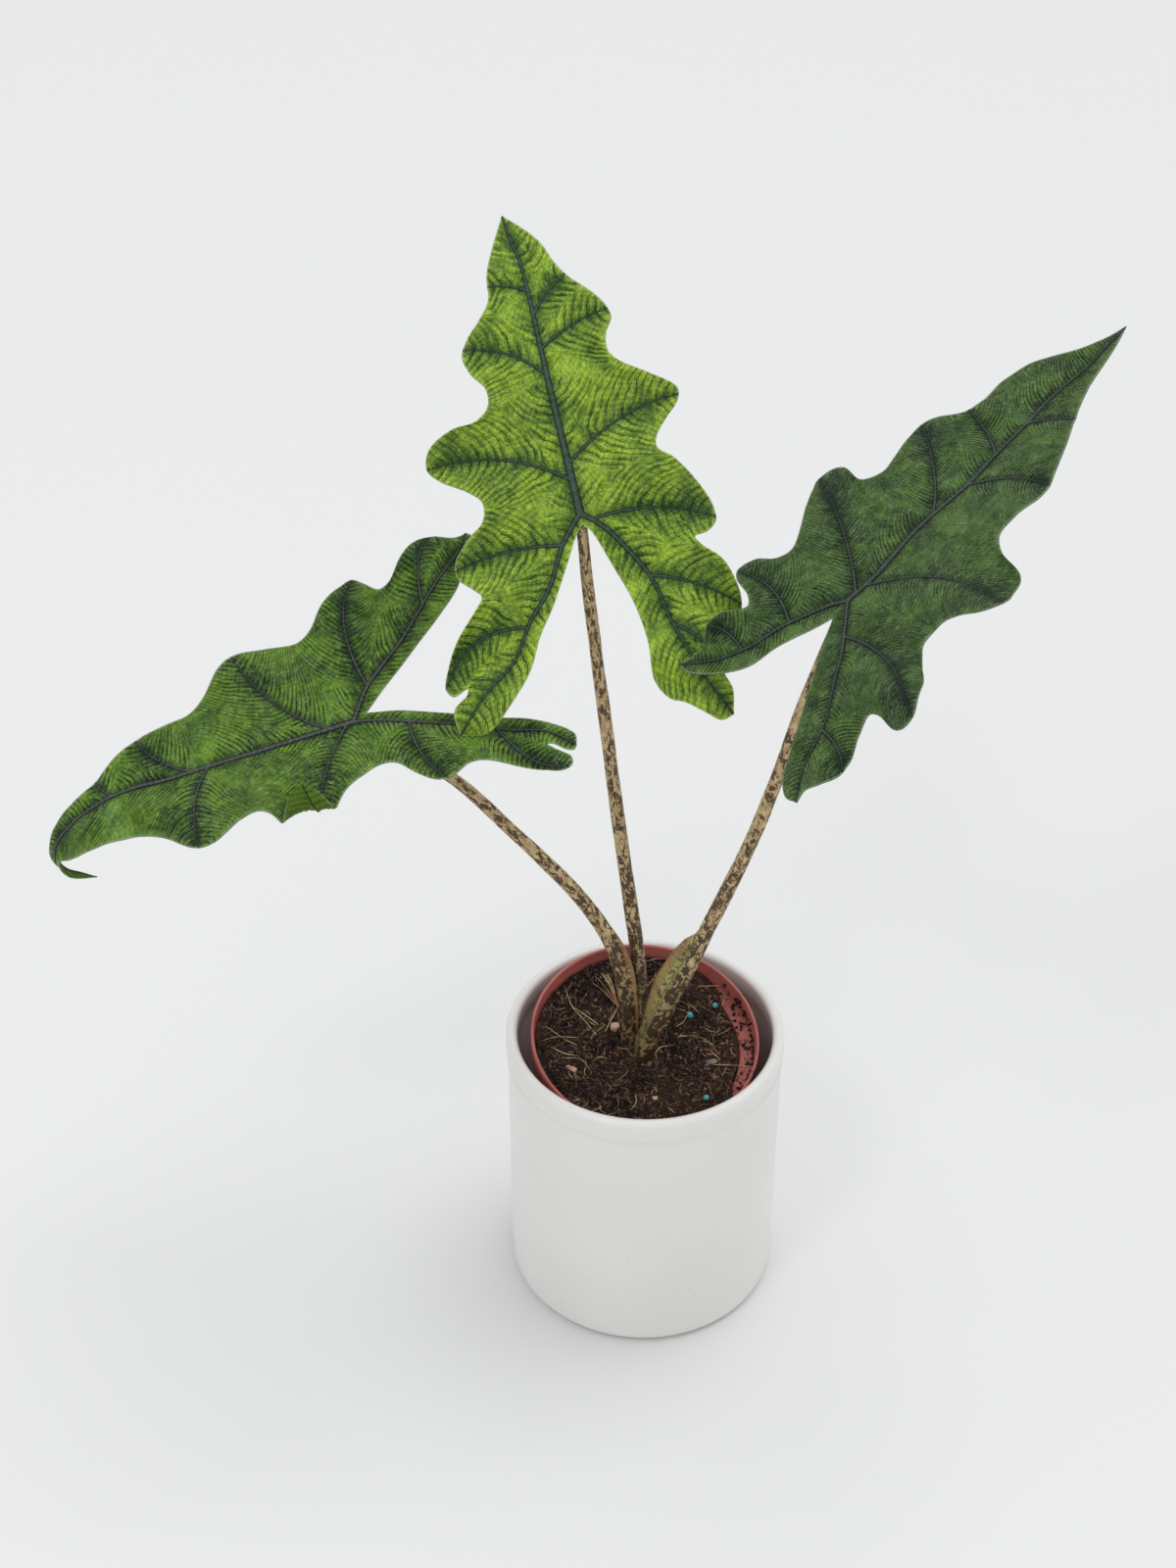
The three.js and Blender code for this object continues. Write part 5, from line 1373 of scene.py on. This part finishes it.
def leaf_brightness(group, flat, far, streak):
    """How far the ground has gone from its deep to its bright colour: a sum of shares that rise
    away from the main veins, in patches, on the swellings, along streaks, in fine noise and at
    the margin, and fall in the dusk round the outer side veins."""
    patch = noise(group, flat, 0.05, 3, 0.6)
    shade = ramp(group, noise(group, flat, 0.1, 2), 0.35, 0.6)
    shares = (ramp(group, far, 0, 4, 0, 0.3),
              ramp(group, patch, 0.38, 0.6, 0, 0.45),
              ramp(group, read(group, "swell"), 0.1, 0.9, 0, 0.1),
              ramp(group, streak, 0.3, 0.7, -0.32, 0.32),
              ramp(group, noise(group, flat, 0.5, 4, 0.65), 0.3, 0.7, -0.18, 0.18),
              ramp(group, read(group, "inset"), 0.5, 7, 0.2, 0),
              product(group, read(group, "dusk"), shade, -0.45))
    bright = shares[0]
    for share in shares[1:]:
        bright = calc(group, "ADD", bright, share)
    return bright


def leaf_markings_group():
    """What all three leaves share: grey main veins with dark flanks, partly a painted highlight
    and painted shade, fine veins of three orders, bright panels between dark zones, a pale thin
    margin,
    and painted glints: pale crests beside the fine veins and specks."""
    group = bpy.data.node_groups.new("leaf markings", "ShaderNodeTree")
    for name in ("Deep", "Bright", "Rib", "Vein", "Margin", "Underside"):
        group.interface.new_socket(name, in_out="INPUT", socket_type="NodeSocketColor")
    for name in ("Line strength", "Halo", "Bright share", "Glint share"):
        group.interface.new_socket(name, in_out="INPUT", socket_type="NodeSocketFloat")
    for name, kind in (("Color", "Color"), ("Roughness", "Float"), ("Height", "Float")):
        group.interface.new_socket(name, in_out="OUTPUT", socket_type="NodeSocket" + kind)
    given = group.nodes.new("NodeGroupInput").outputs
    flat = read(group, "flat", "Vector")
    far, core, inset = read(group, "far"), read(group, "core"), read(group, "inset")
    first, second, rung, crest, streak = fine_veins(group, flat)

    bright = leaf_brightness(group, flat, far, streak)
    bright = product(group, bright, given["Bright share"])
    bright = calc(group, "MAXIMUM", calc(group, "MINIMUM", bright, 1), 0)
    colour = blend(group, bright, given["Deep"], given["Bright"])
    # Painted glints on the crests beside the fine veins, in the pale margin colour.
    colour = blend(group, product(group, crest, given["Glint share"], 0.8), colour,
                   given["Margin"])
    colour = blend(group, product(group, rung, 0.28), colour, given["Vein"])
    colour = blend(group, product(group, second, 0.55, given["Line strength"]), colour,
                   given["Vein"])
    colour = blend(group, product(group, first, given["Line strength"]), colour, given["Vein"])
    halo = product(group, ramp(group, far, 0, 3.5, 1, 0), given["Halo"])
    colour = blend(group, halo, colour, given["Vein"])
    colour = blend(group, ramp(group, inset, 0.35, 0.9, 0.8, 0), colour, given["Margin"])
    # Painted glints: pale specks that stand in for reflections of the light on the glossy relief.
    glint_specks = ramp(group, noise(group, flat, 1.5, 4, 0.7, 1.5), 0.59, 0.65)
    glint_specks = product(group, glint_specks, ramp(group, noise(group, flat, 0.07, 2), 0.42, 0.6),
                    given["Glint share"])
    colour = blend(group, glint_specks, colour, (0.5, 0.56, 0.5))
    # Main veins: dark flanks in their own dark colour and painted shade at the sides of the
    # raised cord, then a lighter grey-green middle that is partly a painted highlight along the
    # cord.
    colour = blend(group, ramp(group, far, -0.1, 0.35, 1, 0), colour, given["Vein"])
    centre = calc(group, "ADD", core, product(group, noise(group, flat, 0.7), 0.5))
    colour = blend(group, ramp(group, centre, 0.5, 1.2, 1, 0), colour, given["Rib"])
    under = blend(group, product(group, first, 0.4), given["Underside"], given["Vein"])
    under = blend(group, ramp(group, far, -0.1, 0.5, 0.8, 0), under, given["Vein"])
    colour = blend(group, read(group, "upper"), under, colour)

    sunk = calc(group, "ADD", product(group, first, 0.9), product(group, second, 0.5))
    sunk = calc(group, "ADD", sunk, product(group, rung, 0.3))
    height = calc(group, "SUBTRACT", noise(group, flat, 1.1, 4, 0.6), sunk)
    rough = ramp(group, noise(group, flat, 0.5, 3), 0.3, 0.7, 0.38, 0.52)
    out = group.nodes.new("NodeGroupOutput")
    group.links.new(colour, out.inputs["Color"])
    group.links.new(rough, out.inputs["Roughness"])
    group.links.new(height, out.inputs["Height"])
    return group


LEAF_MARKINGS = leaf_markings_group()


def leaf_material(name, colours, amounts, depth):
    material, tree, shader = new_material(name, Specular_IOR_Level=0.18)
    used = add(tree, "Group", node_tree=LEAF_MARKINGS)
    for key, value in colours.items():
        used.inputs[key].default_value = (*value, 1)
    for key, value in amounts.items():
        used.inputs[key].default_value = value
    tree.links.new(used.outputs["Color"], shader.inputs["Base Color"])
    tree.links.new(used.outputs["Roughness"], shader.inputs["Roughness"])
    bump(tree, shader, used.outputs["Height"], depth)
    return material


# Rib colours are the main veins' grey-green middles, partly a painted highlight. Margin colours
# also tint the painted glints beside the fine veins.
LEAF_FINISH = {
    "middle": {
        "slot": "leaf_young", "pitch": 4.2, "relief": 0.8, "depth": 0.0012,
        "colours": {"Deep": (0.075, 0.17, 0.03), "Bright": (0.46, 0.7, 0.06),
                    "Rib": (0.075, 0.12, 0.085), "Vein": (0.016, 0.042, 0.018),
                    "Margin": (0.5, 0.68, 0.24), "Underside": (0.16, 0.26, 0.07)},
        "amounts": {"Line strength": 0.8, "Halo": 0.12, "Bright share": 0.95,
                    "Glint share": 0.5},
    },
    "left": {
        "slot": "leaf_mature", "pitch": 2.8, "relief": 0.6, "depth": 0.002,
        "colours": {"Deep": (0.03, 0.08, 0.026), "Bright": (0.27, 0.5, 0.06),
                    "Rib": (0.15, 0.16, 0.15), "Vein": (0.008, 0.018, 0.014),
                    "Margin": (0.44, 0.57, 0.35), "Underside": (0.13, 0.24, 0.02)},
        "amounts": {"Line strength": 1, "Halo": 0.12, "Bright share": 1,
                    "Glint share": 1},
    },
    "right": {
        "slot": "leaf_old", "pitch": 2.1, "relief": 0.35, "depth": 0.002,
        "colours": {"Deep": (0.03, 0.066, 0.03), "Bright": (0.19, 0.35, 0.08),
                    "Rib": (0.12, 0.15, 0.12), "Vein": (0.008, 0.014, 0.011),
                    "Margin": (0.38, 0.49, 0.32), "Underside": (0.1, 0.15, 0.07)},
        "amounts": {"Line strength": 1, "Halo": 0.12, "Bright share": 0.95,
                    "Glint share": 1},
    },
}
for side, finish in LEAF_FINISH.items():
    blade = make_piece(f"leaf_{side}_veined",
                       *blade_mesh(LEAVES[side], finish["pitch"], finish["relief"]))
    leaf_skin = leaf_material(f"leaf {side}", finish["colours"], finish["amounts"],
                              finish["depth"])
    fit(blade, leaf_skin, finish["slot"], f"leaf_{side}")


# Floor, light and camera: a plain pale floor that runs up behind, even studio light from all
# round with a broad soft lamp overhead and a small one at the front left, and the photograph's
# angle, looking down on the plant.
def stage_floor(columns=13, rows=60, curve_start=2500, curve_spread=4500):
    """A flat sheet whose height curves up far behind the object: z = (y - start)^2 / spread."""
    gx, gy = np.meshgrid(np.linspace(-6000, 6000, columns), np.linspace(-6000, 7000, rows))
    gz = np.where(gy > curve_start, (gy - curve_start) ** 2 / curve_spread, 0.0)
    points = np.stack([gx, gy, gz], -1).reshape(-1, 3)
    j, i = np.meshgrid(np.arange(rows - 1), np.arange(columns - 1), indexing="ij")
    p = (j * columns + i).ravel()
    return points, np.stack([p, p + 1, p + columns + 1, p + columns], 1).tolist()


floor = make_piece("floor", *stage_floor())
floor_material, _, floor_shader = new_material("plain floor", Roughness=0.9)
floor_shader.inputs["Base Color"].default_value = (0.77, 0.77, 0.77, 1)
floor_shader.inputs["Specular IOR Level"].default_value = 0.1
floor.data.materials.append(floor_material)

world = bpy.data.worlds.new("studio")
bpy.context.scene.world = world
world.use_nodes = True
world.node_tree.nodes["Background"].inputs["Color"].default_value = (0.98, 0.99, 1, 1)
world.node_tree.nodes["Background"].inputs["Strength"].default_value = 0.8


def aimed_lamp(name, kind, place, aim, power, **settings):
    """A lamp at a place that shines towards the aim."""
    lamp = bpy.data.lights.new(name, kind)
    lamp.energy = power
    for key, value in settings.items():
        setattr(lamp, key, value)
    holder = bpy.data.objects.new(name, lamp)
    bpy.context.scene.collection.objects.link(holder)
    holder.location = place
    holder.rotation_euler = (Vector(aim) - Vector(place)).to_track_quat("-Z", "Y").to_euler()


aimed_lamp("soft box overhead", "SUN", (0.5, 0.35, 2.0), (0, 0, 0.2), 0.9, angle=math.radians(40))
aimed_lamp("glint lamp", "AREA", (-0.6, -0.9, 1.7), (0, 0, 0.35), 3, shape="SQUARE", size=0.3)

CAMERA_PLACE = (0, -0.90526, 0.98324)
CAMERA_PITCH = 36.336
CAMERA_YAW = -1.846
CAMERA_ROLL = -0.12


def aimed_camera():
    """The camera looks along its yaw and pitch, and is turned about its own line by its roll."""
    pitch, yaw, roll = (math.radians(v) for v in (CAMERA_PITCH, CAMERA_YAW, CAMERA_ROLL))
    ahead = Vector((math.sin(yaw) * math.cos(pitch), math.cos(yaw) * math.cos(pitch),
                    -math.sin(pitch)))
    level = Vector((math.cos(yaw), -math.sin(yaw), 0))
    above = level.cross(ahead)
    right = math.cos(roll) * level + math.sin(roll) * above
    up = math.cos(roll) * above - math.sin(roll) * level
    turn = Matrix((right, up, -ahead)).transposed().to_4x4()
    lens = bpy.data.cameras.new("camera")
    lens.sensor_fit = "VERTICAL"
    lens.sensor_height = 36
    lens.lens = 54
    holder = bpy.data.objects.new("camera", lens)
    bpy.context.scene.collection.objects.link(holder)
    holder.matrix_world = Matrix.Translation(CAMERA_PLACE) @ turn
    return holder


bpy.context.scene.camera = aimed_camera()
bpy.context.scene.view_settings.view_transform = "Standard"
